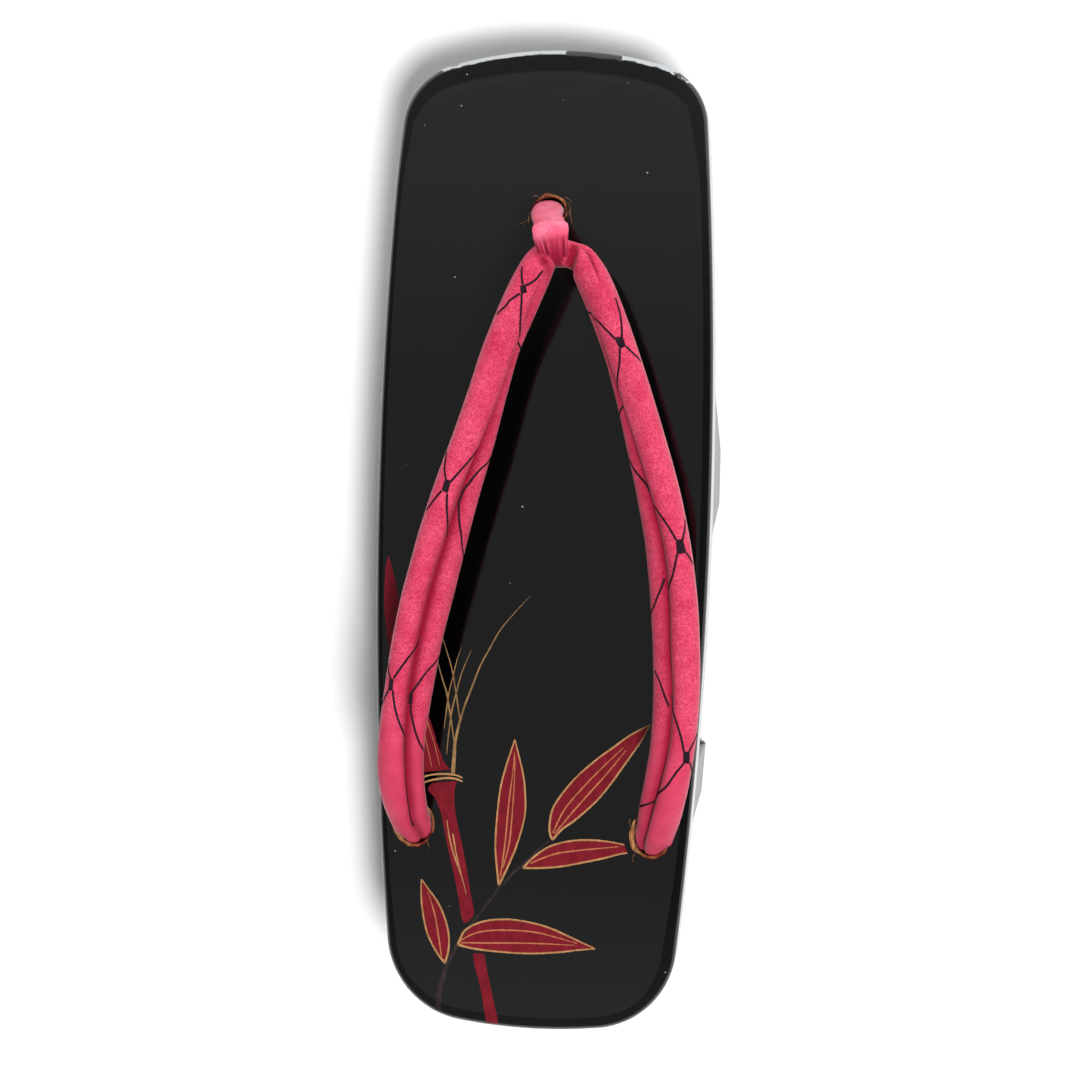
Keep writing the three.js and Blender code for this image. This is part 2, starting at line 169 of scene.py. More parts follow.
class Shader:
    """A Principled material with short calls for its nodes."""

    def __init__(self, name, **values):
        self.material = bpy.data.materials.new(name)
        self.material.use_nodes = True
        self.tree = self.material.node_tree
        self.surface = self.tree.nodes["Principled BSDF"]
        for key, value in values.items():
            self.surface.inputs[key.replace("_", " ")].default_value = value

    def node(self, kind, settings=None, **inputs):
        made = self.tree.nodes.new(kind)
        for key, value in (settings or {}).items():
            setattr(made, key, value)
        for key, value in inputs.items():
            self.feed(made.inputs[key.replace("_", " ")], value)
        return made

    def feed(self, socket, value):
        if isinstance(value, bpy.types.NodeSocket):
            self.tree.links.new(value, socket)
        else:
            socket.default_value = value

    def place(self, scale=1.0, space="Object"):
        """Coordinates in millimetres, stretched by the given scales."""
        scales = (scale,) * 3 if isinstance(scale, (int, float)) else scale
        source = self.node("ShaderNodeTexCoord").outputs[space]
        size = 1 / MM if space == "Object" else 1
        mapping = self.node("ShaderNodeMapping", Vector=source)
        mapping.inputs["Scale"].default_value = [s * size for s in scales]
        return mapping.outputs["Vector"]

    def noise(self, vector, scale, detail=3.0, roughness=0.55):
        return self.node("ShaderNodeTexNoise", Vector=vector, Scale=scale, Detail=detail,
                         Roughness=roughness).outputs["Fac"]

    def ramp(self, value, *stops):
        ramp = self.node("ShaderNodeValToRGB", Fac=value)
        points = ramp.color_ramp.elements
        while len(points) < len(stops):
            points.new(0.5)
        for point, (where, colour) in zip(points, stops):
            point.position = where
            point.color = (*colour, 1) if isinstance(colour, tuple) else (colour,) * 3 + (1,)
        return ramp.outputs["Color"]

    def mix(self, fac, a, b, blend="MIX"):
        mixer = self.node("ShaderNodeMix", {"data_type": "RGBA", "blend_type": blend})
        for socket, value in zip((mixer.inputs[0], mixer.inputs[6], mixer.inputs[7]), (fac, a, b)):
            self.feed(socket, (*value, 1) if isinstance(value, tuple) and len(value) == 3 else value)
        return mixer.outputs[2]

    def maths(self, operation, a, b=0.0):
        made = self.node("ShaderNodeMath", {"operation": operation})
        self.feed(made.inputs[0], a)
        self.feed(made.inputs[1], b)
        return made.outputs[0]

    def product(self, first, *others):
        for other in others:
            first = self.maths("MULTIPLY", first, other)
        return first

    def within(self, value, centre, reach):
        """One where the value lies within reach of the centre, and zero elsewhere."""
        made = self.maths("COMPARE", value, centre)
        made.node.inputs[2].default_value = reach
        return made

    def waver(self, vector, scale, detail, roughness, amount):
        """Noise that swings to either side of zero."""
        return self.product(self.maths("SUBTRACT", self.noise(vector, scale, detail, roughness), 0.5), amount)

    def marked(self, name):
        """What mark() has kept on the mesh under this name."""
        return self.node("ShaderNodeAttribute", {"attribute_name": name}).outputs["Fac"]

    def bump(self, height, strength, distance, below=None):
        made = self.node("ShaderNodeBump", Height=height, Strength=strength, Distance=distance * MM)
        if below is not None:
            self.feed(made.inputs["Normal"], below)
        return made.outputs["Normal"]

    def use(self, **inputs):
        for key, value in inputs.items():
            self.feed(self.surface.inputs[key.replace("_", " ")], value)
        return self.material


def srgb(*values):
    """Linear colour from 0 to 255 display values."""
    return tuple((v / 255 / 12.92) if v <= 10 else ((v / 255 + 0.055) / 1.055) ** 2.4 for v in values)


# The painted highlight along the toe's edge and the chip in it: how far in and back it goes, its height under
# the deck, and its middle, half width and fraying across
TOE_HIGHLIGHT = {"inset": 1.3, "back": 13.5, "under": 0.7, "middle": 2.0, "half_wide": 28.0, "fray": 26.0}
CHIP = {"inset": 1.7, "middle": 9.2, "half_wide": 6.6}
# The teeth are less polished than the deck: where that starts and is full, in shares of 20 mm below the deck
SATIN = {"start": 0.50, "full": 0.75, "roughness": 0.26}


def painted_deck_reflections(shader, spot):
    """The lacquer's black with painted reflections, a little greyer towards both ends, and a faint painted
    highlight where the toe rounds.
    """
    along = shader.product(shader.maths("ADD", spot["Y"], TIP_Y), 1 / SOLE_LENGTH)
    # Painted reflection: the black is greyer near the toe and the heel and darkest through the middle
    ground = shader.ramp(along, (0.02, srgb(17, 17, 19)), (0.10, srgb(9, 9, 10)), (0.17, srgb(2, 2, 2)),
                         (0.35, srgb(2, 2, 3)), (0.68, srgb(4, 4, 4)), (0.86, srgb(19, 19, 19)),
                         (0.97, srgb(23, 23, 23)))
    aside = shader.maths("POWER", spot["X"], 2.0)
    ahead = shader.maths("POWER", shader.maths("SUBTRACT", spot["Y"], TIP_Y - TOE_RADIUS), 2.0)
    from_centre = shader.maths("SQRT", shader.maths("ADD", aside, ahead))
    inset = shader.product(shader.maths("SUBTRACT", TOE_RADIUS, from_centre), 0.1)
    # Painted highlight: a faint lighter line where the toe starts to round down
    rounding_highlight = shader.ramp(inset, (0.50, srgb(20, 20, 21)), (0.66, srgb(27, 27, 28)),
                           (0.80, srgb(22, 22, 22)))
    near_toe = shader.ramp(inset, (0.85, 1.0), (1.10, 0.0))
    middle = shader.ramp(shader.product(aside, 0.001), (0.60, 1.0), (0.95, 0.0))
    front = shader.maths("GREATER_THAN", spot["Y"], 0.0)
    return shader.mix(shader.product(near_toe, middle, front), ground, rounding_highlight)


def toe_highlight_and_chip_masks(shader, place, spot):
    """Where a pale highlight is painted along the toe's edge, and where the edge is chipped dark."""
    torn = shader.waver(place, 0.35, 5, 0.65, 1.5)
    edge = shader.maths("ADD", shader.marked("inset"), torn)
    lowest = TOE_DECK - TOE_RIM["drop"] - TOE_HIGHLIGHT["under"]
    upper = shader.maths("GREATER_THAN", shader.maths("ADD", spot["Z"], torn), lowest)
    at_toe = shader.product(shader.maths("GREATER_THAN", spot["Y"], TIP_Y - TOE_HIGHLIGHT["back"]), upper)
    frayed = shader.maths("ADD", spot["X"], shader.waver(place, 0.22, 4, 0.6, TOE_HIGHLIGHT["fray"]))
    reach = shader.within(frayed, TOE_HIGHLIGHT["middle"], TOE_HIGHLIGHT["half_wide"])
    across = shader.maths("ADD", spot["X"], shader.product(torn, 1.6))
    chipped = shader.within(across, CHIP["middle"], CHIP["half_wide"])
    # Painted highlight: a pale band along the toe's edge, broken where the edge is chipped
    wear_and_highlight = shader.product(shader.maths("LESS_THAN", edge, TOE_HIGHLIGHT["inset"]), at_toe, reach)
    pale = shader.product(wear_and_highlight, shader.maths("SUBTRACT", 1.0, chipped))
    dark = shader.product(chipped, at_toe, shader.maths("LESS_THAN", edge, CHIP["inset"]))
    return pale, dark


def lacquer_material():
    """Polished black lacquer with dust, painted reflections and a pale painted highlight round the toe,
    broken where it is chipped.
    """
    shader = Shader("black_lacquer", IOR=1.5)
    place = shader.place()
    spot = shader.node("ShaderNodeSeparateXYZ", Vector=place).outputs
    specks = shader.node("ShaderNodeTexVoronoi", Vector=place, Scale=0.13, Randomness=1.0)
    dust = shader.ramp(specks.outputs["Distance"], (0.0, 1.0), (0.022, 1.0), (0.034, 0.0))
    patchy = shader.ramp(shader.noise(place, 0.09, 2), (0.38, 0.0), (0.52, 1.0))
    black = shader.mix(shader.product(dust, patchy), painted_deck_reflections(shader, spot), srgb(150, 146, 142))
    # pale is the painted highlight along the toe's edge, and dark is where the edge is chipped
    pale, dark = toe_highlight_and_chip_masks(shader, place, spot)
    grit = shader.ramp(shader.noise(place, 1.6, 4, 0.7), (0.35, srgb(20, 21, 22)), (0.7, srgb(64, 66, 68)))
    colour = shader.mix(dark, shader.mix(pale, black, srgb(182, 186, 188)), grit)
    wave = shader.bump(shader.noise(place, 0.03, 2), 0.12, 0.4)
    fine = shader.bump(shader.noise(place, 1.4, 2), 0.02, 0.05, wave)
    polish = shader.ramp(shader.noise(place, 0.045, 4), (0.35, 0.05), (0.7, 0.11))
    slope = shader.product(spot["Y"], (HEEL_DECK - TOE_DECK) / SOLE_LENGTH)
    below = shader.maths("SUBTRACT", shader.maths("SUBTRACT", deck_z(0), slope), spot["Z"])
    on_teeth = shader.ramp(shader.product(below, 0.05), (SATIN["start"], 0.0), (SATIN["full"], 1.0))
    satin = shader.mix(on_teeth, polish, (SATIN["roughness"],) * 3)
    rough = shader.mix(shader.maths("MAXIMUM", pale, dark), satin, (0.5, 0.5, 0.5))
    return shader.use(Base_Color=colour, Roughness=rough, Normal=fine)


def wood_material():
    shader = Shader("bare_wood", Roughness=0.75)
    grain = shader.noise(shader.place((3.2, 0.35, 1.4)), 1.0, 5, 0.65)
    dirt = shader.noise(shader.place(), 0.5, 3)
    colour = shader.ramp(grain, (0.3, srgb(96, 58, 36)), (0.5, srgb(176, 122, 76)),
                         (0.72, srgb(214, 168, 118)))
    wear_and_highlight = shader.mix(shader.ramp(dirt, (0.45, 0.0), (0.7, 0.7)), colour, srgb(70, 40, 28))
    return shader.use(Base_Color=wear_and_highlight, Normal=shader.bump(grain, 0.6, 0.3))


def paint_material(name, deep, light, roughness=0.42):
    shader = Shader(name, Roughness=roughness, IOR=1.45, Specular_IOR_Level=0.22)
    brush = shader.noise(shader.place((0.9, 0.45, 0.9)), 0.8, 4, 0.6)
    colour = shader.ramp(brush, (0.3, deep), (0.7, light))
    return shader.use(Base_Color=colour, Normal=shader.bump(brush, 0.2, 0.05))


def cloth_material(name, pale, mid, deep, valley, worm_strength):
    """Cloth with worm-like mottles, painted shade in its folds and near black underneath, smoother where
    marked plain.

    Marked painted shade takes it towards its deep colour.
    """
    shader = Shader(name, Roughness=0.6, IOR=1.45, Sheen_Weight=0.15, Sheen_Roughness=0.4,
                    Specular_IOR_Level=0.4)
    place = shader.place()
    warp = shader.noise(place, 1.15, 3, 0.6)
    worm = shader.ramp(warp, (0.40, 0.0), (0.475, 1.0), (0.53, 0.15), (0.60, 0.9), (0.68, 0.2))
    grain = shader.ramp(shader.noise(place, 2.6, 2, 0.5), (0.38, 0.0), (0.62, 1.0))
    slow = shader.noise(place, 0.2, 3)
    plain = shader.marked("plain")
    wear_and_highlight = shader.ramp(plain, (0.0, 0.0), (1.0, 0.55))
    ground = shader.mix(wear_and_highlight, shader.ramp(slow, (0.32, mid), (0.66, pale)), srgb(196, 58, 88))
    fold = shader.marked("fold")
    keep = shader.maths("SUBTRACT", 1.0, shader.product(plain, 0.72))
    mottled = shader.mix(shader.product(worm, grain, keep, worm_strength), ground, deep)
    # Painted shade: towards the deep colour where shade is marked
    shade = shader.marked("shade")
    shaded = shader.mix(shade, mottled, deep)
    # Painted shade: towards the valley colour where folds, creases and dents are marked
    crease_shaded = shader.mix(shader.product(fold, 0.92), shaded, valley)
    # Painted shade, near black, on the thong's underside
    underside_shade = shader.marked("underside_shade")
    colour = shader.mix(underside_shade, crease_shaded, srgb(20, 13, 17))
    crepe = shader.bump(shader.noise(shader.place((0.35, 2.0, 0.6)), 1.0, 3), 0.25, 0.2)
    return shader.use(Base_Color=colour, Normal=shader.bump(shader.product(worm, keep), -0.35, 0.1, crepe))


def cord_material():
    shader = Shader("hemp_cord", Roughness=0.9, Sheen_Weight=0.2)
    twist = shader.place((3.0, 0.55, 1.0), "UV")
    strands = shader.node("ShaderNodeTexWave", {"bands_direction": "DIAGONAL"}, Vector=twist, Scale=1.0,
                          Distortion=0.6, Detail=2.0).outputs["Fac"]
    fuzz = shader.noise(shader.place(), 2.5, 4)
    colour = shader.ramp(fuzz, (0.3, srgb(138, 120, 92)), (0.7, srgb(206, 190, 158)))
    shaded = shader.mix(shader.ramp(strands, (0.0, 0.75), (0.45, 0.0)), colour, srgb(92, 76, 56))
    return shader.use(Base_Color=shaded, Normal=shader.bump(strands, 0.8, 0.5))


LACQUER = lacquer_material()
WOOD = wood_material()
CRIMSON = paint_material("crimson_paint", srgb(100, 20, 30), srgb(122, 27, 39))
GOLD = paint_material("gold_paint", srgb(142, 102, 64), srgb(186, 138, 92))
HAIR = paint_material("hair_paint", srgb(104, 80, 54), srgb(160, 122, 80))
ROSE = paint_material("rose_vein_paint", srgb(150, 84, 58), srgb(190, 122, 82))
BRANCH = paint_material("branch_paint", srgb(34, 27, 27), srgb(56, 45, 45))
# Each cloth's deep colour serves its mottles and its painted shade, and its valley colour is painted shade in
# folds
PINK = cloth_material("pink_cloth", srgb(227, 84, 114), srgb(210, 63, 95), srgb(156, 10, 48),
                      srgb(132, 0, 34), 1.0)
# The loop's cloth is the thong's pink made lighter, as painted light on the loop, with a darker valley for
# painted shade in its pleats
LIT_LOOP_PINK = cloth_material("loop_cloth", srgb(255, 134, 160), srgb(246, 94, 126), srgb(172, 28, 64),
                           srgb(94, 0, 20), 0.6)
NET = paint_material("net_line", srgb(30, 19, 27), srgb(48, 34, 42), 0.8)
HEMP = cord_material()


# Body outline: five tangent arcs a side

def circles_meet(a, radius_a, b, radius_b, wanted):
    """Of the two points where circles meet, the one further along the wanted direction of Y."""
    unit = (b - a) / np.linalg.norm(b - a)
    distance = np.linalg.norm(b - a)
    along = (radius_a ** 2 - radius_b ** 2 + distance ** 2) / (2 * distance)
    across = math.sqrt(radius_a ** 2 - along ** 2) * np.sign(unit[0]) * wanted
    return a + unit * along + np.array([-unit[1], unit[0]]) * across


def outline(spacing=1.3):
    """Points and outward directions all round, from the toe tip clockwise as seen from above."""
    toe = np.array([0, TIP_Y - TOE_RADIUS])
    heel = np.array([0, HEEL_RADIUS - TIP_Y])
    side = np.array([SOLE_WIDTH / 2 - SIDE_RADIUS, station_y(WIDEST_STATION)])
    toe_corner = circles_meet(toe, TOE_RADIUS - TOE_CORNER, side, SIDE_RADIUS - TOE_CORNER, 1)
    heel_corner = circles_meet(heel, HEEL_RADIUS - HEEL_CORNER, side, SIDE_RADIUS - HEEL_CORNER, -1)

    def angle(a, b):
        return math.atan2(b[1] - a[1], b[0] - a[0])

    turns = [math.pi / 2, angle(toe, toe_corner), angle(side, toe_corner), angle(side, heel_corner),
             angle(heel, heel_corner), -math.pi / 2]
    arcs = [(toe, TOE_RADIUS), (toe_corner, TOE_CORNER), (side, SIDE_RADIUS), (heel_corner, HEEL_CORNER),
            (heel, HEEL_RADIUS)]
    points, outward = [], []
    for (centre, radius), start, end in zip(arcs, turns, turns[1:]):
        steps = max(4, round(radius * abs(end - start) / spacing))
        for turn in np.linspace(start, end, steps, endpoint=False):
            way = np.array([math.cos(turn), math.sin(turn)])
            points.append(centre + radius * way)
            outward.append(way)
    points.append(np.array([0, -TIP_Y]))
    outward.append(np.array([0, -1.0]))
    right, right_way = np.array(points), np.array(outward)
    flip = np.array([-1, 1])
    return (np.concatenate([right, (right[1:-1] * flip)[::-1]]),
            np.concatenate([right_way, (right_way[1:-1] * flip)[::-1]]))


OUTLINE, OUTWARD = outline()


def rim_at(y):
    """The rim's width and drop, wide round the toe, narrow along the sides and medium round the heel."""
    toe = smoothstep(y, TIP_Y - TOE_RIM["reach"], TIP_Y - TOE_RIM["width"])
    heel = smoothstep(-y, TIP_Y - HEEL_RIM["reach"], TIP_Y - HEEL_RIM["width"])
    return [SIDE_RIM[key] + (TOE_RIM[key] - SIDE_RIM[key]) * toe + (HEEL_RIM[key] - SIDE_RIM[key]) * heel
            for key in ("width", "drop")]


def surface_z(points):
    """The body's top at points seen from above, rim included."""
    points = np.atleast_2d(points)
    gaps = np.linalg.norm(points[:, None] - OUTLINE[None], axis=2)
    nearest = gaps.argmin(1)
    inset = ((OUTLINE[nearest] - points) * OUTWARD[nearest]).sum(1)
    width, drop = rim_at(OUTLINE[nearest, 1])
    share = np.clip(inset / width, 0, 1)
    return deck_z(points[:, 1]) - drop * (1 - np.sqrt(1 - (1 - share) ** 2))


def block():
    rings = [np.column_stack([OUTLINE, np.zeros(len(OUTLINE))])]
    width, drop = rim_at(OUTLINE[:, 1])
    for turn in np.linspace(0, math.pi / 2, 13):
        inset = OUTLINE - OUTWARD * (width * (1 - math.cos(turn)))[:, None]
        z = deck_z(inset[:, 1]) - drop * (1 - math.sin(turn))
        rings.append(np.column_stack([inset, z]))
    return lofted("body", [ring[::-1] for ring in rings], LACQUER)


def under_z(station):
    return deck_z(station_y(station)) - BOARD


def curve_points(start, corner, end, steps=8):
    """A quadratic curve from start to end, pulled towards corner."""
    share = np.linspace(0, 1, steps + 1)[:, None]
    start, corner, end = map(np.array, (start, corner, end))
    return list((1 - share) ** 2 * start + 2 * share * (1 - share) * corner + share ** 2 * end)


def tooth_face(floor, root, away):
    """A tooth's face from below the floor up to the board, with its fillet."""
    root_z = under_z(root)
    fillet_z = root_z - ROOT_FILLET
    foot = (floor + (root - floor) * fillet_z / root_z, fillet_z)
    board = root + away * ROOT_FILLET
    return [np.array(p, float) for p in ((floor, -SAW_PAST), (floor, 0))] + curve_points(
        foot, (root, root_z), (board, under_z(board)))


def saw(profile):
    """A cutter with a side profile of stations and heights, right across the body."""
    profile = np.array(profile)
    rings = [np.column_stack([np.full(len(profile), x), station_y(profile[:, 0]), profile[:, 1]])
             for x in (-SAW_REACH, SAW_REACH)]
    return lofted("saw", rings, LACQUER)


def profiles():
    front, rear = FRONT_TOOTH, REAR_TOOTH
    tip = TOE_DECK - TOE_TIP_BOARD
    toe = tooth_face(front["floor_front"], front["root_front"], -1)
    middle = TOE_SPRING / 2
    toe += curve_points((TOE_SPRING, under_z(TOE_SPRING)), (middle, under_z(middle)), (0, tip))
    toe += [(-SAW_PAST, tip), (-SAW_PAST, -SAW_PAST)]
    arch = tooth_face(front["floor_back"], front["root_back"], 1)
    arch += tooth_face(rear["floor_front"], rear["root_front"], -1)[::-1]
    tip = HEEL_DECK - HEEL_TIP_BOARD
    spring = SOLE_LENGTH - HEEL_SPRING
    middle = SOLE_LENGTH - HEEL_SPRING / 2
    heel = tooth_face(rear["floor_back"], rear["root_back"], 1)
    heel += curve_points((spring, under_z(spring)), (middle, under_z(middle)), (SOLE_LENGTH, tip))
    heel += [(SOLE_LENGTH + SAW_PAST, tip), (SOLE_LENGTH + SAW_PAST, -SAW_PAST)]
    return toe, arch, heel


def hole_centre(hole, side, height):
    """The middle of a slanted hole at a height over the deck."""
    y = station_y(hole["station"]) + height * math.tan(math.radians(hole["slant"]))
    return np.array([side * hole["aside"], y, deck_z(y) + height])


def ragged(turns, seed, amount):
    """A ragged closed line, made of fixed waves."""
    rng = np.random.default_rng(seed)
    wave = sum(rng.uniform(0.4, 1) / k ** 0.7 * np.sin(k * turns + rng.uniform(0, 6.3))
               for k in range(1, 15))
    return amount * wave / np.abs(wave).max()


# How a broken mouth narrows: heights over the deck, with 1 for the mouth's size and 0 for the throat's
MOUTH_STEPS = [(4, 1.0), (0, 1.0), (-0.3, 0.75), (-0.75, 0.3), (-1.2, 0), (-30, 0)]
MOUTH_RAGGED = 0.42


def drill(hole, mouth, side, seed):
    """A hole whose mouth is broken to bare wood."""
    turns = np.linspace(0, 2 * math.pi, 120, endpoint=False)
    rings = []
    for step, (height, open_share) in enumerate(MOUTH_STEPS):
        wide = mouth["throat_wide"] + (mouth["wide"] - mouth["throat_wide"]) * open_share
        long = mouth["throat_long"] + (mouth["long"] - mouth["throat_long"]) * open_share
        rough = open_share * ragged(turns, seed + step // 2, MOUTH_RAGGED)
        ring = np.column_stack([(wide + rough) * np.cos(turns), (long + rough) * np.sin(turns), 0 * turns])
        rings.append(hole_centre(hole, side, height) + ring)
    return lofted("drill", rings, WOOD)


def make_body():
    body = block()
    for profile in profiles():
        cut(body, saw(profile))
    bevel = body.modifiers.new("bevel", "BEVEL")
    bevel.width = EDGE_BEVEL * MM
    bevel.segments = 2
    bevel.limit_method = "ANGLE"
    bevel.angle_limit = math.radians(BEVEL_ANGLE)
    bake(body)
    cut(body, drill(FRONT_HOLE, FRONT_MOUTH, 0, 11))
    cut(body, drill(REAR_HOLE, REAR_MOUTH, -1, 23))
    cut(body, drill(REAR_HOLE, REAR_MOUTH, 1, 37))
    for polygon in body.data.polygons:
        polygon.use_smooth = True
    body.modifiers.new("normals", "WEIGHTED_NORMAL").keep_sharp = True
    bake(body)
    points = np.array([vertex.co[:2] for vertex in body.data.vertices]) / MM
    gaps = np.linalg.norm(points[:, None] - OUTLINE[None], axis=2)
    mark(body, "inset", gaps.min(1))
    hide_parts("dai")
    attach(body, "root")


# Thong: the same table as the solids', and where the crease lies on each half

STRAP_BROAD = 12
STRAP_THIN = 8
STRAP_RISE = 18
STRAP_LEAN = 40
# The crease: depth as a share and reach in degrees of its wide trough and of its sharp bottom, and how far
# its painted shade reaches
CREASE_WIDE = (0.24, 25)
CREASE_SHARP = (0.27, 10)
CREASE_SHADE_REACH = 16
# Near-black painted shade on the thong's underside: the turn at its middle, how far round it goes, and how
# far from the tube's ends it starts
UNDERSIDE_TURN = 230
UNDERSIDE_SHADE_ROUND = (57, 62)
UNDERSIDE_SHADE_START = (12, 22)
# From here to here the cloth's mottle fades in from each end
PLAIN_END = (30, 48)
# How close the thong comes to the deck and the throats of the holes, and how much wider it may be over them
THONG_CLEAR = 0.25
THONG_EASE = 0.75
# In a mouth the thong's room lies this far outward, from this station back and this low over the deck
MOUTH_SHIFT = {-1: 0.35, 1: 0.65}
MOUTH_STATION = 165
MOUTH_HEIGHT = 0.9
# Spacing of the thong's rows, and how deep its last ones lie in the holes
THONG_STEP = 0.7
THONG_DEPTHS = (4.2, 6.5, 9.0, 11.2)
VERTEX_STATION = 48.5
VERTEX_ASIDE = 6.0
STRAP_COLUMNS = ("along", "out", "aside", "rise", "broad", "thin", "lean", "crease", "fold_left",
                 "fold_right")
STRAP_ROWS = np.array([
    (0.006, 0.07, 0.72, 1.00, 0.53, 0.64, 1.50, 0.00, 90, 95),
    (0.028, 0.18, 0.96, 1.05, 0.68, 0.86, 1.45, 0.10, 90, 97),
    (0.076, 0.30, 1.00, 1.05, 0.74, 0.94, 1.40, 0.20, 90, 100),
    (0.160, 0.46, 1.00, 1.04, 0.76, 0.92, 1.35, 0.50, 116, 112),
    (0.240, 0.58, 1.03, 1.02, 0.82, 0.92, 1.25, 0.80, 116, 110),
    (0.325, 0.70, 1.04, 1.00, 0.90, 0.95, 1.15, 1.00, 101, 103),
    (0.405, 0.81, 1.01, 0.98, 0.96, 0.98, 1.05, 1.00, 87, 92),
    (0.490, 0.91, 0.94, 0.95, 1.00, 1.00, 1.00, 1.00, 85, 80),
    (0.575, 0.99, 0.84, 0.91, 1.02, 1.00, 0.95, 1.00, 79, 84),
    (0.660, 1.05, 0.70, 0.86, 1.00, 1.00, 0.90, 1.00, 79, 90),
    (0.745, 1.09, 0.55, 0.79, 0.97, 1.00, 0.85, 1.00, 80, 81),
    (0.825, 1.11, 0.38, 0.70, 0.93, 1.00, 0.80, 1.00, 91, 85),
    (0.890, 1.10, 0.22, 0.58, 0.90, 0.98, 0.65, 1.00, 105, 99),
    (0.945, 1.07, 0.10, 0.37, 0.85, 0.98, 0.40, 0.90, 112, 113),
    (0.985, 1.04, 0.02, 0.10, 0.76, 1.02, 0.15, 0.70, 108, 120),
])
# Dents and drag folds on the thong: length along it, turn, reach along, reach round, and depth as a share
# Where dents are deep the cloth is also darkened there with painted shade
DENTS = [
    (159.6, 350, 1, 30, 0.26), (160.4, 30, 1.1, 30, 0.36), (161.1, 72, 1.2, 30, 0.40),
    (161.4, 120, 1.6, 30, 0.28), (161.6, 330, 1.1, 8, 0.17), (162.8, 344, 1.2, 8, 0.19),
    (164.2, 357, 1.5, 8, 0.18), (166, 6, 1.8, 8, 0.14), (168.6, 12, 2.2, 8, 0.10),
    (161.2, 300, 1.8, 30, -0.09), (151.4, 10, 1, 30, 0.12), (150.6, 56, 1.1, 28, 0.18),
    (149.6, 100, 1.6, 30, 0.12), (131, 70, 6, 16, 0.06), (118, 60, 7, 14, 0.05),
    (104, 50, 3.5, 22, 0.05), (96, 120, 3, 20, 0.07), (84, 125, 3.5, 22, 0.06),
    (66, 112, 3, 20, 0.05), (40, 60, 3, 28, 0.05), (31, 20, 4, 30, 0.04),
    (200, 70, 5, 20, 0.06), (214, 60, 3, 22, 0.05), (229, 118, 3, 22, 0.06),
    (246, 40, 3.5, 26, 0.05), (262, 118, 3.2, 20, 0.06), (280, 50, 3, 26, 0.05),
    (18, 70, 2, 30, 0.06), (294.5, 70, 2, 30, 0.06),
]


def catmull(rows, steps):
    padded = np.concatenate([rows[:1], rows, rows[-1:]])
    made = []
    for a, b, c, d in zip(padded, padded[1:], padded[2:], padded[3:]):
        for t in np.linspace(0, 1, steps, endpoint=False):
            made.append(0.5 * (2 * b + (c - a) * t + (2 * a - 5 * b + 4 * c - d) * t ** 2
                               + (3 * b - a - 3 * c + d) * t ** 3))
    return np.array(made + [rows[-1]])


def half_stations(side):
    """Centre points and section columns from the vertex to deep in a rear hole."""
    rows = catmull(STRAP_ROWS, 12)
    named = dict(zip(STRAP_COLUMNS, rows.T))
    y = station_y(VERTEX_STATION + (REAR_HOLE["station"] - VERTEX_STATION) * named["along"])
    x = side * REAR_HOLE["aside"] * named["out"] + VERTEX_ASIDE * named["aside"]
    centre = np.column_stack([x, y, deck_z(y) + STRAP_RISE * named["rise"]])
    fold = named["fold_left" if side < 0 else "fold_right"]
    section = np.column_stack([named["broad"], named["thin"], named["lean"], named["crease"], fold])
    deep = np.array([hole_centre(REAR_HOLE, side, -h) for h in THONG_DEPTHS])
    ends = np.tile(section[-1], (len(deep), 1))
    ends[:, 2] = 0
    return np.concatenate([centre, deep]), np.concatenate([section, ends])


def walked(points):
    """How far along the line each of its points lies."""
    return np.concatenate([[0], np.cumsum(np.linalg.norm(np.diff(points, axis=0), axis=1))])


def resample(points, columns, spacing):
    lengths = walked(points)
    count = int(lengths[-1] / spacing) + 1
    wanted = np.linspace(0, lengths[-1], count)
    both = np.column_stack([points, columns])
    return np.column_stack([np.interp(wanted, lengths, column) for column in both.T]), wanted


def soften(rows, reach):
    """A moving average that keeps both ends."""
    kernel = np.hanning(2 * reach + 3)[1:-1]
    kernel /= kernel.sum()
    padded = np.concatenate([np.repeat(rows[:1], reach, 0), rows, np.repeat(rows[-1:], reach, 0)])
    return np.column_stack([np.convolve(column, kernel, "valid") for column in padded.T])


def unit(vectors):
    return vectors / np.linalg.norm(vectors, axis=-1, keepdims=True)


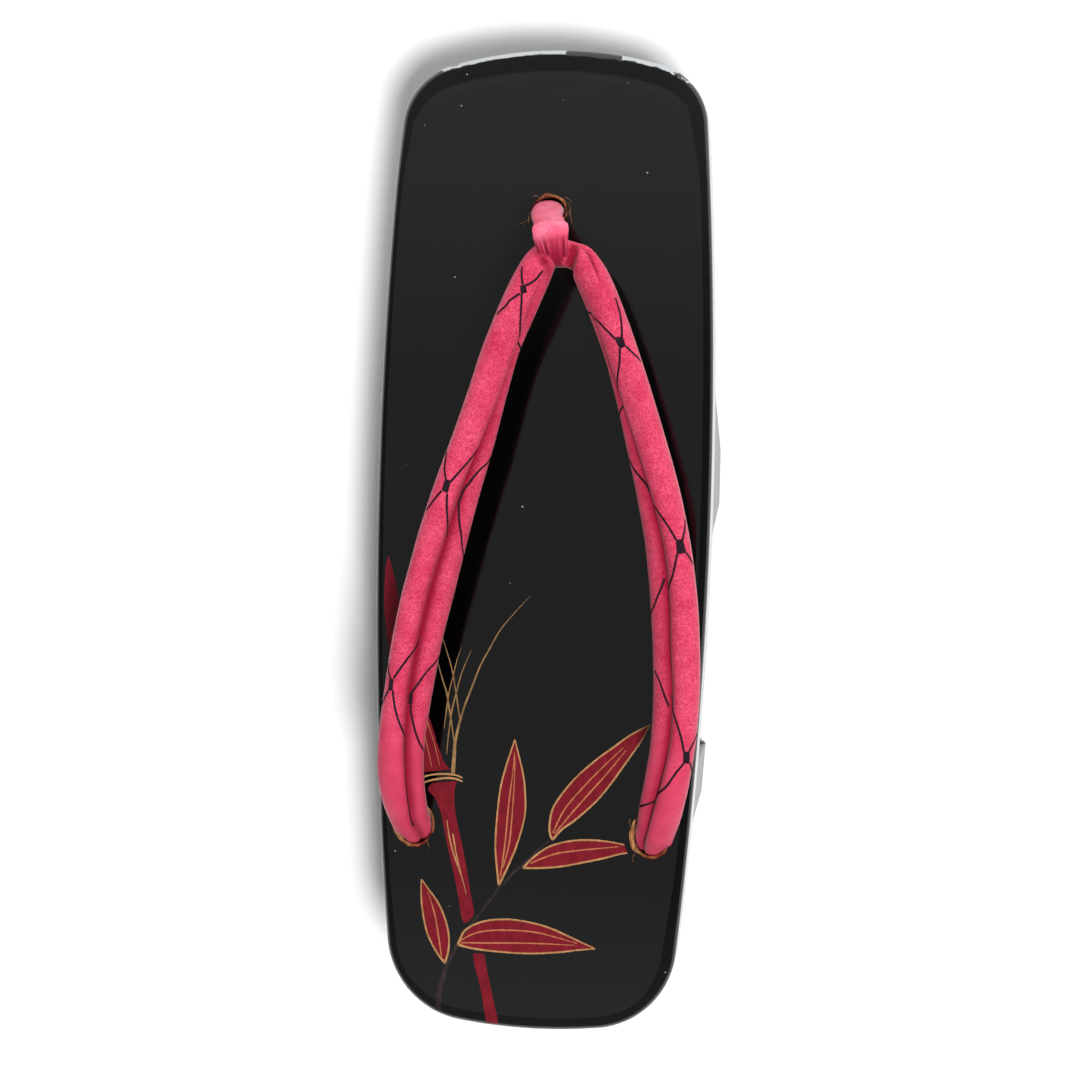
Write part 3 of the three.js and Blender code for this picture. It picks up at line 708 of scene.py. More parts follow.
class Tube:
    """The thong as a grid of points, with rows along it from the left rear hole to the right one."""

    AROUND = 96

    def __init__(self):
        left, left_section = half_stations(-1)
        right, right_section = half_stations(1)
        points = np.concatenate([left[::-1], right])
        columns = np.concatenate([left_section[::-1], right_section])
        rows, self.along = resample(points, columns, THONG_STEP)
        rows = soften(rows, 3)
        centre = rows[:, :3]
        broad, thin, lean, crease, fold = rows[:, 3:].T
        forward = unit(np.gradient(centre, axis=0))
        level = unit(np.cross(np.array([0, 0, 1.0]), forward))
        up = unit(np.cross(forward, level))
        turns = np.linspace(0, 2 * math.pi, self.AROUND, endpoint=False)
        degrees = np.degrees(turns)[None]
        away = (degrees - fold[:, None] + 180) % 360 - 180
        # Painted shade for the cloth: in the crease, and wherever the dents are deep
        self.fold = np.maximum(crease[:, None] * np.exp(-(away / CREASE_SHADE_REACH) ** 2),
                               np.clip(8 * (0.94 - self.dented(degrees)), 0, 0.95))
        end = np.minimum(self.along, self.along[-1] - self.along)[:, None] * np.ones(self.AROUND)
        under = np.abs((degrees - UNDERSIDE_TURN + 180) % 360 - 180)
        self.plain = 1 - smoothstep(end, *PLAIN_END)
        # Near-black painted shade round the underside, fading out towards the ends
        self.underside_shade = (1 - smoothstep(under, *UNDERSIDE_SHADE_ROUND)) * smoothstep(end, *UNDERSIDE_SHADE_START)
        valley = sum(depth * np.exp(-(away / reach) ** 2) for depth, reach in (CREASE_WIDE, CREASE_SHARP))
        pressed = 1 - crease[:, None] * valley
        wave = self.wrinkles(turns) * self.dented(degrees)
        across = STRAP_BROAD / 2 * broad[:, None] * pressed * np.cos(turns) * wave
        over = STRAP_THIN / 2 * thin[:, None] * pressed * np.sin(turns) * wave
        tilt = np.radians(STRAP_LEAN * lean)[:, None]
        aside = across * np.cos(tilt) - over * np.sin(tilt)
        rise = across * np.sin(tilt) + over * np.cos(tilt)
        self.grid = centre[:, None] + aside[..., None] * level[:, None] + rise[..., None] * up[:, None]
        self.centre = centre
        self.keep_above_deck()
        self.normals_grid = self.normals()

    def wrinkles(self, turns):
        """Shallow dents and drag lines, at most a fiftieth of the tube's radius."""
        v = self.along[:, None]
        slow = 0.010 * np.sin(v / 9.1 + 2 * turns) + 0.008 * np.sin(v / 5.3 - turns * 3 + 1.3)
        fine = 0.005 * np.sin(v / 2.1 + 4 * turns + 0.7) * np.sin(v / 17 + 0.4) ** 2
        return 1 + slow + fine

    def dented(self, degrees):
        depth = 0
        for v, turn, reach, spread, share in DENTS:
            away = (degrees - turn + 180) % 360 - 180
            depth = depth + share * np.exp(-((self.along[:, None] - v) / reach) ** 2 - (away / spread) ** 2)
        return 1 - depth

    def keep_above_deck(self):
        """Over the board the tube stays just clear of the deck, and in a hole just clear of its throat."""
        flat = self.grid.reshape(-1, 3)
        for side, shift in MOUTH_SHIFT.items():
            height = flat[:, 2] - deck_z(flat[:, 1])
            low = (height < MOUTH_HEIGHT) & (flat[:, 1] < station_y(MOUTH_STATION))
            near = (flat[:, 0] * side > 0) & low
            deep = smoothstep(-height, -MOUTH_HEIGHT, 1.0)
            back = np.minimum(height, 0) * math.tan(math.radians(REAR_HOLE["slant"]))
            x0 = side * (REAR_HOLE["aside"] + shift * (1 - deep))
            y0 = station_y(REAR_HOLE["station"]) + back
            ease = THONG_EASE * (1 - deep) - THONG_CLEAR
            wide = REAR_MOUTH["throat_wide"] + ease
            long = REAR_MOUTH["throat_long"] + ease
            reach = np.hypot((flat[:, 0] - x0) / wide, (flat[:, 1] - y0) / long)
            outside = near & (reach > 1)
            lift = np.maximum(0, THONG_CLEAR - height)
            squeeze = (reach - 1) * wide
            up = outside & (lift < squeeze)
            inward = outside & ~up
            flat[up, 2] += lift[up]
            flat[inward, 0] = (x0 + (flat[:, 0] - x0) / np.maximum(reach, 1))[inward]
            flat[inward, 1] = (y0 + (flat[:, 1] - y0) / np.maximum(reach, 1))[inward]
        self.grid = flat.reshape(self.grid.shape)

    def mesh(self):
        thong = lofted("thong", self.grid, PINK)
        mark(thong, "fold", self.fold)
        mark(thong, "plain", self.plain)
        mark(thong, "underside_shade", self.underside_shade)
        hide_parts("hanao")
        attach(thong, "root")

    def normals(self):
        around = np.roll(self.grid, -1, 1) - np.roll(self.grid, 1, 1)
        along = np.gradient(self.grid, axis=0)
        normal = unit(np.cross(around, along))
        sign = np.sign(((self.grid - self.centre[:, None]) * normal).sum(2).mean())
        return normal * sign

    def at(self, v, turn):
        """The point and normal at a length along the tube and a turn in degrees."""
        row = np.interp(v, self.along, np.arange(len(self.along)))
        column = (np.asarray(turn) / 360 * self.AROUND) % self.AROUND
        r0 = np.clip(np.floor(row).astype(int), 0, len(self.along) - 2)
        c0 = np.floor(column).astype(int) % self.AROUND
        fr, fc = (row - r0)[..., None], (column - np.floor(column))[..., None]
        c1 = (c0 + 1) % self.AROUND

        def blend(grid):
            return ((1 - fr) * ((1 - fc) * grid[r0, c0] + fc * grid[r0, c1])
                    + fr * ((1 - fc) * grid[r0 + 1, c0] + fc * grid[r0 + 1, c1]))

        return blend(self.grid), unit(blend(self.normals_grid))


tube = Tube()


# Toe loop: a flat band up the front, over the thong and back down, gathered behind

# Columns: place across, station, height, half width, half thickness, bow, depth of the pleats, how round the
# section is, and painted shade
LOOP_ROWS = np.array([
    (-0.1, 38.0, -9.5, 3.1, 1.6, 0.00, 0.0, 1.00, 0.00),
    (-0.1, 38.0, -4.0, 3.2, 1.9, 0.00, 0.0, 1.00, 0.00),
    (-0.2, 38.0, 0.0, 3.35, 2.15, 0.00, 0.0, 0.95, 0.10),
    (0.0, 38.4, 3.0, 3.5, 2.1, 0.00, 0.0, 0.90, 0.02),
    (0.6, 39.9, 9.0, 3.5, 1.8, 0.00, 0.0, 0.85, 0.00),
    (1.8, 41.8, 15.0, 3.5, 1.5, 0.00, 0.0, 0.80, 0.04),
    (2.8, 43.1, 19.0, 3.5, 1.25, 0.00, 0.0, 0.75, 0.10),
    (3.0, 43.5, 20.3, 3.5, 1.1, 0.00, 0.0, 0.70, 0.16),
    (3.3, 44.1, 21.6, 4.05, 1.2, 0.00, 0.0, 0.62, 0.00),
    (3.5, 45.0, 22.3, 4.05, 1.0, 0.00, 0.0, 0.62, 0.00),
    (3.6, 45.9, 22.5, 4.0, 0.85, 0.00, 0.0, 0.65, 0.10),
    (3.7, 46.8, 22.4, 3.85, 0.72, 0.00, 0.4, 0.68, 0.70),
    (4.0, 48.6, 21.9, 3.55, 0.62, 0.01, 0.9, 0.70, 0.92),
    (4.2, 50.7, 20.2, 3.1, 0.55, 0.03, 0.8, 0.70, 0.98),
    (4.1, 52.0, 17.6, 2.75, 0.55, 0.05, 0.3, 0.70, 1.00),
    (3.8, 51.9, 14.6, 2.4, 0.55, 0.06, 0.1, 0.70, 1.00),
    (3.3, 50.2, 12.2, 2.4, 0.55, 0.03, 0.0, 0.70, 0.60),
    (2.2, 46.8, 9.2, 2.8, 0.70, 0.00, 0.0, 0.70, 0.60),
    (1.2, 43.7, 5.0, 3.0, 0.75, 0.00, 0.0, 0.70, 0.60),
    (0.4, 41.4, 0.0, 2.6, 0.55, 0.00, 0.0, 0.90, 0.60),
    (0.0, 40.9, -9.5, 2.4, 0.50, 0.00, 0.0, 0.90, 0.60),
])
# Pleats behind the loop: place across as a share of its half width, how far they lean, half width, depth
# and painted shade, where a shade under zero is a painted highlight along a ridge
PLEATS = [
    (-0.92, 0.00, 0.07, 0.10, 0.95), (-0.70, 0.25, 0.05, 0.12, 0.50), (-0.56, 0.25, 0.04, 0.00, -0.35),
    (-0.43, 0.35, 0.07, 0.26, 1.00), (-0.20, 0.20, 0.05, 0.00, -0.20), (0.03, 0.00, 0.05, 0.16, 0.60),
    (0.34, 0.05, 0.04, 0.10, 0.40), (0.50, 0.00, 0.05, 0.00, -0.18), (0.74, -0.02, 0.06, 0.22, 1.00),
    (0.88, 0.00, 0.04, 0.00, -0.30),
]


LOOP_STEP = 0.35
LOOP_AROUND = 200
PLEAT_LENGTH = 9


def make_loop():
    points = LOOP_ROWS[:, :3].copy()
    points[:, 1] = station_y(points[:, 1])
    points[:, 2] += deck_z(points[:, 1])
    both = catmull(np.column_stack([points, LOOP_ROWS[:, 3:]]), 14)
    rows, along = resample(both[:, :3], both[:, 3:], LOOP_STEP)
    rows = soften(rows, 2)
    centre = rows[:, :3]
    half_wide, half_thick, bow, pleat, square, shade = rows[:, 3:].T
    forward = unit(np.gradient(centre, axis=0))
    side = np.tile(np.array([1.0, 0.05, 0.0]), (len(centre), 1))
    side = unit(side - (side * forward).sum(1)[:, None] * forward)
    out = unit(np.cross(forward, side))
    turns = np.linspace(0, 2 * math.pi, LOOP_AROUND, endpoint=False)
    outer = np.maximum(0, np.sin(turns)) ** 0.5
    begin = along[np.argmax(pleat > 0.05)]
    rings, fold_shades, shades = [], [], []
    for i in range(len(centre)):
        flat = np.sign(np.cos(turns)) * np.abs(np.cos(turns)) ** square[i]
        thick = np.sign(np.sin(turns)) * np.abs(np.sin(turns)) ** (0.5 + 0.5 * square[i])
        x = flat * half_wide[i]
        groove, dark, light = np.zeros_like(x), np.zeros_like(x), np.zeros_like(x)
        for place, lean, reach, depth, darkness in PLEATS:
            middle = place * (1 - lean * (along[i] - begin) / PLEAT_LENGTH)
            near = np.exp(-((flat - middle) / reach) ** 2)
            groove += depth * near
            dark = np.maximum(dark, darkness * near)
            light = np.minimum(light, darkness * near)
        groove *= pleat[i]
        begun = smoothstep(along[i], begin - 0.5, begin + 2.5)
        ripple = 0.04 * np.sin(1.7 * x + along[i] * 0.7) * (flat * 0.9 + 0.1)
        y = thick * half_thick[i] + outer * (0.12 * pleat[i] - groove + ripple) + bow[i] * x ** 2
        rings.append(centre[i] + x[:, None] * side[i] + y[:, None] * out[i])
        # Painted shade: the loop's lower end darker, and dark lines in the pleats
        low = 0.5 * smoothstep(shade[i], 0.86, 1.0)
        fold_shades.append(np.maximum(low, dark * begun))
        # Painted highlights along ridges between the pleats lessen the painted shade
        shades.append(np.clip(shade[i] + light * begun, 0, 1))
    loop = lofted("toe_loop", rings, LIT_LOOP_PINK)
    mark(loop, "fold", fold_shades)
    mark(loop, "shade", shades)
    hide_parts("maetsubo")
    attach(loop, "root")


# Knots under the board

CORD_RADIUS = 1.6
TAIL_RADIUS = 1.35
KNOT_HALF = (1.75, 1.25, 1.5)
KNOT_DROP = 3.6
# Each tail's way across and where it ends, from the knot's seat
TAILS = {"a": (-1, (-6.6, -1.8, -6.6)), "b": (1, (6.6, -1.6, -7.0))}


def cord_tube(name, path, radius, around=12):
    path = np.asarray(path, float)
    forward = unit(np.gradient(path, axis=0))
    side = unit(np.cross(forward, np.array([0.13, 0.31, 0.94])))
    out = np.cross(side, forward)
    turns = np.linspace(0, 2 * math.pi, around, endpoint=False)
    lengths = walked(path)
    rings, uvs = [], []
    for i, point in enumerate(path):
        rings.append(point + radius * (np.cos(turns)[:, None] * side[i] + np.sin(turns)[:, None] * out[i]))
        uvs += [(turn / (2 * math.pi) * 2, lengths[i]) for turn in turns]
    cord = lofted(name, rings, HEMP, uvs)
    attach(cord, "root")
    return cord


def make_knot(node, hole, side):
    seat = hole_centre(hole, side, -BOARD)
    turns = np.linspace(0, 2 * math.pi, 150)
    knot = np.column_stack([
        KNOT_HALF[0] * (np.sin(turns) + 2 * np.sin(2 * turns)),
        KNOT_HALF[1] * (np.cos(turns) - 2 * np.cos(2 * turns)),
        -KNOT_HALF[2] * np.sin(3 * turns),
    ]) + seat + np.array([0, 0, -KNOT_DROP])
    cord = cord_tube(node + "_knot_cord", knot, CORD_RADIUS)
    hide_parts(node)
    for name, (way, end) in TAILS.items():
        inner = seat + np.array([way * 1.6, 0.4, 1.5])
        middle = seat + np.array([way * 4.4, -1.5, -6.0])
        path = curve_points(inner, middle, seat + np.array(end), 23)
        cord_tube(f"{node}_tail_{name}", path, TAIL_RADIUS)


# Painting on the deck: leaves, culm and hairs, as (across, station) points

def on_deck(flat, lift):
    """Lays (across, station) points on the body's top surface, raised by a lift."""
    flat = np.atleast_2d(flat)
    seen = np.column_stack([flat[:, 0], station_y(flat[:, 1])])
    return np.column_stack([seen, surface_z(seen) + lift])


def painted(name, points, faces, material):
    piece = new_object(name, points, faces, material)
    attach(piece, "root")


def stroke(line, widths, lift):
    """A brush stroke along a line of (across, station) points, with widths spread over its length."""
    line = np.asarray(line, float)
    ahead = unit(np.gradient(line, axis=0))
    side = np.column_stack([-ahead[:, 1], ahead[:, 0]])
    share = np.linspace(0, 1, len(line))
    half = np.interp(share, np.linspace(0, 1, len(widths)), widths)[:, None] / 2
    points = np.concatenate([on_deck(line - side * half, lift), on_deck(line + side * half, lift)])
    return points, ring_faces(2, len(line), closed=False)


def merge(parts):
    points, faces = [], []
    for part_points, part_faces in parts:
        start = sum(len(p) for p in points)
        points.append(part_points)
        faces += [tuple(start + i for i in face) for face in part_faces]
    return np.concatenate(points), faces


def filled(left, right, lift, across=6):
    """The area between two lines with the same number of points."""
    left, right = np.asarray(left), np.asarray(right)
    rows = [on_deck(left + (right - left) * share, lift) for share in np.linspace(0, 1, across + 1)]
    return np.concatenate(rows), ring_faces(across + 1, len(left), closed=False)


LEAVES = {
    "upright": {
        "left": [(-7.4, 196.1), (-8.3, 189.5), (-8.5, 186.2), (-8.3, 180.2), (-7.7, 173.6), (-6.6, 168.6),
                 (-4.6, 161.8)],
        "right": [(-7.4, 196.1), (-5.1, 190.9), (-3.3, 186.1), (-1.8, 180), (-1.7, 175.4), (-2.4, 169.8),
                  (-4.6, 161.8)],
        "veins": [[(-7.1, 194), (-6.2, 186), (-5.6, 177), (-4.8, 169), (-4.6, 164.6)],
                  [(-6.6, 192), (-5.2, 186), (-4.6, 177), (-4.4, 169), (-4.6, 164.6)]]},
    "high": {
        "left": [(5, 184.8), (4.2, 182.7), (4.6, 178.3), (6.3, 174.9), (10.1, 170), (14.7, 165.7),
                 (18.8, 162.5), (22.4, 159.7), (27, 157)],
        "right": [(5, 184.8), (7.2, 182.2), (10.3, 179.8), (15.1, 175.2), (18.5, 170.8), (20.9, 167.2),
                  (23.3, 163.6), (25.3, 160.5), (27, 157)],
        "veins": [[(5, 183.2), (7.6, 177.6), (12, 172), (16.6, 167), (21, 162.6)],
                  [(5.4, 183.4), (9.6, 178), (13.6, 173.2), (17.6, 168.4), (21.6, 163.2)]]},
    "side": {
        "left": [(-1.8, 191.7), (0.6, 189.1), (4.3, 186.4), (9, 184.9), (13.7, 184.4), (18.4, 184.6),
                 (21.8, 185.1)],
        "right": [(-1.8, 191.7), (2.5, 191.5), (7.2, 190.9), (11.9, 189.8), (16.6, 188.6), (20.9, 187.3),
                  (22.6, 187)],
        "veins": [[(-0.1, 190.6), (2.5, 189.3), (6.2, 187.9), (10.9, 187), (15.6, 186.3), (20.6, 185.6)]]},
    "broad": {
        "left": [(-16.7, 210.5), (-15.4, 207.4), (-12.8, 205.5), (-9.5, 204.4), (-4.8, 203.9), (0, 204.3),
                 (4.7, 205.3), (9.5, 207.1), (15.7, 209.6)],
        "right": [(-16.7, 210.5), (-13.1, 211.2), (-7, 211.6), (0.1, 211.6), (7.2, 210.9), (11.9, 210.1),
                  (15.7, 209.6)],
        "veins": [[(-16.1, 209.5), (-13.2, 207.8), (-9.5, 206.8), (-3.8, 206.4), (1.9, 206.6), (7.1, 207.6),
                   (11.4, 208.6)],
                  [(-16, 210), (-9.4, 209.7), (-2.3, 209.3), (4.8, 209.1), (10.9, 209.1)]]},
    "small": {
        "left": [(-19.7, 215), (-21.8, 212.5), (-24.1, 208.3), (-25.4, 203.1), (-25.9, 198.4),
                 (-25.9, 195.6)],
        "right": [(-19.7, 215), (-18.9, 211.5), (-19.1, 207.7), (-20.2, 204), (-21.9, 200.7),
                  (-24.1, 197.9), (-25.9, 195.6)],
        "veins": [[(-20.6, 213.4), (-21.5, 208.3), (-22.5, 203.6), (-24.3, 198.4)]]},
}
CULM = {
    "sheath": {
        "left": [(-28.1, 170.7), (-29.3, 168.1), (-30.3, 164.6), (-31.5, 160), (-32.8, 154.2),
                 (-34.3, 147.3), (-35.9, 138.1), (-36.7, 132.3), (-36.8, 128.6), (-36.7, 123.1),
                 (-36.1, 119.6)],
        "right": [(-19.7, 169.5), (-21.2, 168), (-22.1, 165.9), (-23.1, 163.4), (-24.1, 160.3),
                  (-25.4, 156.9), (-28.3, 149.5), (-30.8, 140.3), (-33.1, 130.4), (-34.6, 124.2),
                  (-36.1, 119.6)]},
    "upper": {
        "left": [(-24.1, 172.9), (-24.9, 174), (-24.8, 174.8), (-23.2, 176.4), (-22, 178.9),
                 (-21.3, 181.4), (-19.8, 187.9), (-18.2, 194), (-16.9, 199.7), (-16.2, 203.4),
                 (-15.4, 205.5)],
        "right": [(-18, 172.1), (-18.4, 173.1), (-18.5, 174.3), (-18.6, 176.3), (-18.3, 178.8),
                  (-17.8, 181.7), (-16.2, 187.8), (-14.9, 193.9), (-13.9, 199.1), (-13.1, 202.9),
                  (-14.2, 204.8)]},
    "lower": {
        "left": [(-13.1, 212.3), (-12.6, 215.2), (-11.3, 219.4), (-10.3, 224.1), (-9.6, 229)],
        "right": [(-10.4, 212.3), (-9.5, 216.5), (-8.2, 221.7), (-7.1, 226.4), (-6.8, 229)]},
}
# Thin lines: points, widths from start to end, and paint
LINES = [
    ("node_upper", [(-26.5, 171.7), (-24.5, 171), (-21.1, 170.6), (-18.3, 170.8), (-16.8, 171.3)],
     (0.35, 0.45, 0.45, 0.3), GOLD),
    ("node_lower", [(-26.4, 173.1), (-24.5, 172.3), (-21.1, 171.6), (-18.6, 171.6), (-16.7, 172.2)],
     (0.35, 0.5, 0.5, 0.35), GOLD),
    ("sheath_line_a", [(-22.3, 168.8), (-23.8, 163.3), (-25.3, 159.2), (-27.3, 153), (-30.3, 142.1),
                       (-33, 132.2)], (0.1, 0.25, 0.25, 0.1), ROSE),
    ("sheath_line_b", [(-24.2, 169.1), (-25.7, 163.3), (-27.7, 156.4), (-30.2, 147.2), (-32.7, 136.9)],
     (0.1, 0.25, 0.25, 0.1), ROSE),
    ("culm_line_a", [(-20.2, 181.4), (-19.9, 183.3), (-19.2, 186.6), (-18.3, 189.4),
                     (-17.2, 192.3), (-16.1, 195.1), (-15, 198.8)],
     (0.2, 0.34, 0.34, 0.28, 0.22, 0.1), GOLD),
    ("culm_line_b", [(-18.7, 184.5), (-18.2, 187), (-17.7, 189.4), (-17, 191.9),
                     (-16.4, 193.9)],
     (0.3, 0.36, 0.3, 0.22, 0.12), GOLD),
    ("branch", [(4.3, 185), (1.5, 187.4), (-2, 191.1), (-4.1, 193), (-5.9, 195.2), (-7.5, 196.8),
                (-9.6, 200), (-12.4, 203.8), (-14.2, 206.2), (-16.3, 209.1), (-17.8, 212.4),
                (-19.2, 215.3), (-20.1, 218.6), (-20.9, 222.4), (-21.3, 226.7)],
     (0.4, 0.55, 0.6, 0.6, 0.7, 0.8, 1.2, 1.4), BRANCH),
    ("hair_a", [(-19.1, 170.6), (-18.9, 166.4), (-18.8, 163.3), (-18, 159), (-16.8, 154.6),
                (-15, 149.6), (-13.3, 144.9), (-11.2, 140.8), (-8.2, 135.5), (-1.9, 128.1)],
     (1, 0.8, 0.55, 0.45, 0.4, 0.35, 0.3, 0.25, 0.18, 0.08), HAIR),
    ("hair_b", [(-20.7, 166), (-20.5, 162.4), (-20.1, 158.4), (-19.7, 155.3), (-18.7, 150.9),
                (-17.6, 146.5), (-15.5, 141.2)], (0.15, 0.3, 0.35, 0.35, 0.3, 0.25, 0.1), HAIR),
    ("hair_c", [(-19, 163.2), (-19.8, 158.4), (-20.5, 154.7), (-21.2, 151.3), (-22.4, 147.9),
                (-23.5, 144.2)], (0.2, 0.35, 0.4, 0.35, 0.3, 0.12), HAIR),
    ("hair_d", [(-17.8, 157.6), (-18.5, 153.7), (-19.1, 150.3), (-20.1, 145.7), (-21.3, 142),
                (-22.4, 138.9)], (0.2, 0.35, 0.35, 0.3, 0.25, 0.1), HAIR),
    ("hair_e", [(-21.5, 160), (-21.1, 155.9), (-20.6, 151.6), (-19.7, 147.5), (-18.9, 143.8),
                (-17.9, 140.7)], (0.12, 0.3, 0.3, 0.25, 0.2, 0.08), HAIR),
]


def even(line, count):
    """A smooth line through the points, with evenly spaced steps."""
    points = catmull(np.array(line, float), 10)
    lengths = walked(points)
    wanted = np.linspace(0, lengths[-1], count)
    return np.column_stack([np.interp(wanted, lengths, column) for column in points.T])


LEAF_LIFT, CULM_LIFT, LINE_LIFT, OUTLINE_LIFT = 0.02, 0.018, 0.03, 0.035
OUTLINE_WIDTHS = (0.5, 0.42, 0.38, 0.42, 0.3)
VEIN_WIDTHS = (0.3, 0.34, 0.3, 0.16)


def make_painting():
    fills, edges, veins = [], [], []
    for leaf in LEAVES.values():
        left, right = even(leaf["left"], 60), even(leaf["right"], 60)
        fills.append(filled(left, right, LEAF_LIFT))
        edges += [stroke(line, OUTLINE_WIDTHS, OUTLINE_LIFT) for line in (left, right)]
        veins += [stroke(even(line, 50), VEIN_WIDTHS, OUTLINE_LIFT) for line in leaf["veins"]]
    for stretch in CULM.values():
        fills.append(filled(even(stretch["left"], 50), even(stretch["right"], 50), CULM_LIFT))
    painted("painting_leaves", *merge(fills), CRIMSON)
    painted("painting_outlines", *merge(edges), GOLD)
    painted("painting_veins", *merge(veins), ROSE)
    for name, line, widths, material in LINES:
        painted("painting_" + name, *stroke(even(line, 70), widths, LINE_LIFT), material)


# Net pattern printed on the thong: lines and squares as (length along it, turn) points

NET_LINES = [
    [(144.2, 32), (145.1, 21), (147.6, -6)], [(144.3, 41), (146.2, 59), (148.8, 68)],
    [(142.3, 41), (135.6, 81), (132.3, 111), (130.5, 150)],
    [(142.1, 36), (139.9, 16), (138.2, 8), (136, -12)],
    [(97.8, 30), (99.6, 15), (101.5, 5), (103.6, -8)],
    [(97.5, 44), (101.2, 61), (104.2, 76), (107.9, 95)], [(95.1, 29), (93.2, 18), (91.4, 7), (89.8, -8)],
    [(94.8, 46), (92.9, 52), (91, 59), (88.7, 69), (85.1, 85)],
    [(93.6, 91), (96.7, 94), (98.3, 100), (100.9, 109), (103.1, 124), (106.2, 160)],
    [(93.6, 91), (91.9, 95), (89.5, 102), (87.4, 112), (83.3, 138), (80.5, 165)],
    [(51.7, 32), (56.5, 56), (59.9, 75), (61.6, 80)], [(48.7, 21), (46.1, 4), (44.5, -10)],
    [(48.9, 35), (44.8, 49), (41.2, 66), (37.9, 90)], [(51.4, 22), (53, 6), (54.6, -12)],
    [(48.4, 86), (54, 112), (56.6, 141), (58, 165)],
    [(46, 91), (44.2, 95), (39.9, 111), (36.8, 128), (34.5, 150)],
    [(37.9, 90), (30, 96), (21, 101), (14, 104)],
    [(181.5, 39), (178.6, 58), (176.4, 74), (173.8, 110), (172.1, 145)],
    [(181.8, 16), (178.5, -1), (175.9, -10), (173.1, -15)], [(183.9, 14), (185.8, -3), (187.8, -28)],
    [(183.9, 35), (187, 52), (190.5, 80), (193, 98), (195.3, 108), (198, 140)],
    [(227.6, 32), (223.6, 50), (220.1, 70), (217.6, 90), (213.4, 105), (208, 135)],
    [(227.8, 15), (225.7, -1), (223.6, -17)], [(230.7, 9), (233.3, -15)],
    [(230.6, 36), (233.1, 46), (235.6, 57), (238.7, 76), (240.8, 85)],
    [(235.8, 89), (238.1, 98), (240.5, 112), (242.4, 125), (245, 155)],
    [(273.8, 33), (271.2, 42), (267.5, 58), (264.9, 72), (262.2, 83)],
    [(273.8, 17), (272, 1), (270.3, -20)], [(276.4, 7), (278.8, -18)],
    [(276.4, 29), (278.8, 47), (282, 66), (285.3, 93), (287.8, 112), (291.5, 155)],
    [(256.8, 129), (259.1, 112), (262.5, 97), (264.6, 89)],
]
NET_SQUARES = [
    [(143.7, 25), (144.5, 40), (143, 54), (142, 39)],
    [(97.9, 27), (97.8, 45), (94.8, 47), (95.3, 28)], [(51.4, 17), (51.6, 32), (48.9, 35), (48.7, 19)],
    [(48.4, 80), (48.8, 90), (46.3, 94), (45.8, 84)],
    [(181.3, 41), (181.6, 13), (183.9, 13), (184, 36)],
    [(227.5, 33), (227.7, 13), (230.7, 8), (230.7, 37)],
    [(273.8, 35), (273.8, 14), (276.5, 8), (276.4, 32)],
]
NET_WIDTH = 0.52
NET_LIFT = 0.05


def net_line(line):
    path = even(line, 40)
    centre, normal = tube.at(path[:, 0], path[:, 1])
    ahead = unit(np.gradient(centre, axis=0))
    side = unit(np.cross(normal, ahead)) * NET_WIDTH / 2
    rows = [centre + side * share + normal * NET_LIFT for share in (-1, 0, 1)]
    return np.concatenate(rows), ring_faces(len(rows), len(path), closed=False)


def net_square(corners, steps=6):
    a, b, c, d = np.array(corners, float)
    share = np.linspace(0, 1, steps + 1)
    grid = np.array([[(a * (1 - u) + b * u) * (1 - w) + (d * (1 - u) + c * u) * w for u in share]
                     for w in share])
    centre, normal = tube.at(grid[..., 0].ravel(), grid[..., 1].ravel())
    return centre + normal * NET_LIFT, ring_faces(steps + 1, steps + 1, closed=False)


def make_net():
    parts = [net_line(line) for line in NET_LINES] + [net_square(corners) for corners in NET_SQUARES]
    points, faces = merge(parts)
    net = new_object("net_pattern", points, faces, NET)
    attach(net, "root")


# Loose fibres where the lacquer has broken round the holes: start, bend and end, each as its place across,
# station and height

FIBRE_RADIUS = 0.05
FIBRES = [
    [(-4.2, 39.4, 0), (-5.4, 40.6, 0.9), (-5.9, 42.2, 0.5)],
    [(-4, 40.2, 0), (-5.9, 40.8, 0.5), (-7.1, 41.4, 0.3)],
    [(-4.3, 38.4, 0), (-5, 39.6, 1.6), (-4.4, 41.4, 2.2)],
    [(4.2, 36.2, 0), (5.2, 37.4, 0.9), (5, 38.8, 0.6)],
    [(4.3, 38, 0), (5.3, 39.3, 1), (5.4, 41.2, 0.4)],
    [(3.4, 35, 0), (4.6, 35.2, 0.8), (5.3, 36.3, 0.5)],
    [(-2.6, 34.9, 0), (-3.4, 34.3, 0.7), (-3.9, 35, 0.4)],
    [(-25, 186.4, 0), (-24, 187.4, 0.8), (-24.3, 188.6, 0.3)],
    [(24.4, 187, 0), (23.5, 187.9, 0.7), (24.1, 188.9, 0.2)],
    [(23.4, 181.2, 0), (22.7, 180, 0.7), (23, 179, 0.2)],
]


def make_fibres():
    for number, (start, bend, end) in enumerate(FIBRES):
        path = np.array(curve_points(start, bend, end, 15))
        path[:, 1] = station_y(path[:, 1])
        path[:, 2] += deck_z(path[:, 1]) - FIBRE_RADIUS
        fibre = cord_tube(f"fibre_{number}", path, FIBRE_RADIUS, 6)
        fibre.data.materials[0] = WOOD


# Floor, light and camera

# Each lamp's place, size, watts, and whether it is a wide light overhead that only polished things show
LAMPS = {"key": ((250, -190, 880), 190, 8.8, False), "front": ((80, 850, 235), 300, 4.8, False),
         "sheen": ((-420, -120, 1200), 1900, 2.6, True)}
LAMP_TARGET = (0, 0, 30)
FLOOR_REACH = 4000
WORLD_STRENGTH = 0.145


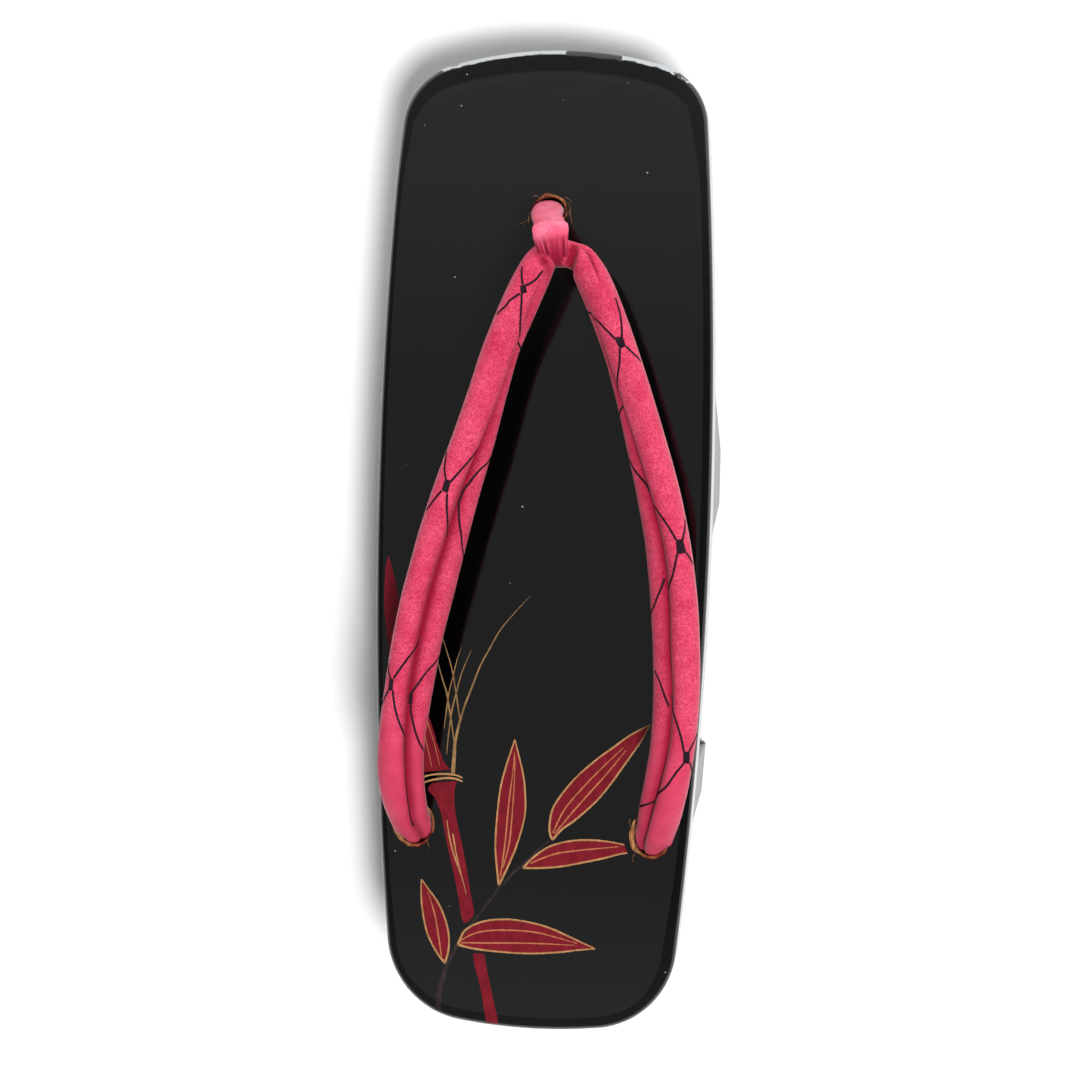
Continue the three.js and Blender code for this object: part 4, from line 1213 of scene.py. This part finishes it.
def make_stage():
    shader = Shader("pale_floor", Roughness=0.8)
    shader.use(Base_Color=srgb(252, 252, 252) + (1,))
    corners = [(x * FLOOR_REACH, y * FLOOR_REACH, 0) for x, y in ((-1, -1), (1, -1), (1, 1), (-1, 1))]
    floor = new_object("floor", corners, [(0, 1, 2, 3)], shader.material)
    world = bpy.data.worlds.new("studio")
    world.use_nodes = True
    background = world.node_tree.nodes["Background"]
    background.inputs["Color"].default_value = (0.95, 0.97, 1.0, 1)
    background.inputs["Strength"].default_value = WORLD_STRENGTH
    bpy.context.scene.world = world
    for name, (place, size, power, for_polish) in LAMPS.items():
        lamp = bpy.data.lights.new(name, "AREA")
        lamp.size = size * MM
        lamp.energy = power
        obj = bpy.data.objects.new(name, lamp)
        obj.location = Vector(place) * MM
        if not for_polish:
            obj.rotation_euler = (Vector(LAMP_TARGET) - Vector(place)).to_track_quat("-Z", "Y").to_euler()
        obj.visible_glossy = for_polish
        obj.visible_diffuse = not for_polish
        bpy.context.collection.objects.link(obj)


CAMERA_ASIDE = 64
CAMERA_STATION = 113.9
CAMERA_HEIGHT = 450
CAMERA_LENS = 64.8
CAMERA_LEAN = 1.2


def make_camera():
    """The photograph's own place over the deck, turned to face the sandal."""
    slope = (HEEL_DECK - TOE_DECK) / SOLE_LENGTH
    normal = Vector((0, slope, 1)).normalized()
    foot_y = station_y(CAMERA_STATION)
    place = Vector((CAMERA_ASIDE, foot_y, deck_z(foot_y))) + CAMERA_HEIGHT * normal
    target = Vector((0, 0, deck_z(0)))
    forward = (target - place).normalized()
    toe_way = Vector((math.sin(math.radians(-CAMERA_LEAN)), math.cos(math.radians(-CAMERA_LEAN)), 0))
    right = forward.cross(toe_way).normalized()
    up = right.cross(forward).normalized()
    camera = bpy.data.cameras.new("camera")
    camera.lens = CAMERA_LENS
    camera.sensor_width = 36
    camera.clip_start = 0.01
    obj = bpy.data.objects.new("camera", camera)
    turn = Matrix((right, up, -forward)).transposed()
    obj.matrix_world = Matrix.Translation(place * MM) @ turn.to_4x4()
    bpy.context.collection.objects.link(obj)
    bpy.context.scene.camera = obj


make_body()
tube.mesh()
make_loop()
make_knot("front_knot", FRONT_HOLE, 0)
make_knot("rear_knot_left", REAR_HOLE, -1)
make_knot("rear_knot_right", REAR_HOLE, 1)
make_painting()
make_net()
make_fibres()
make_stage()
make_camera()
bpy.context.scene.view_settings.view_transform = "Standard"
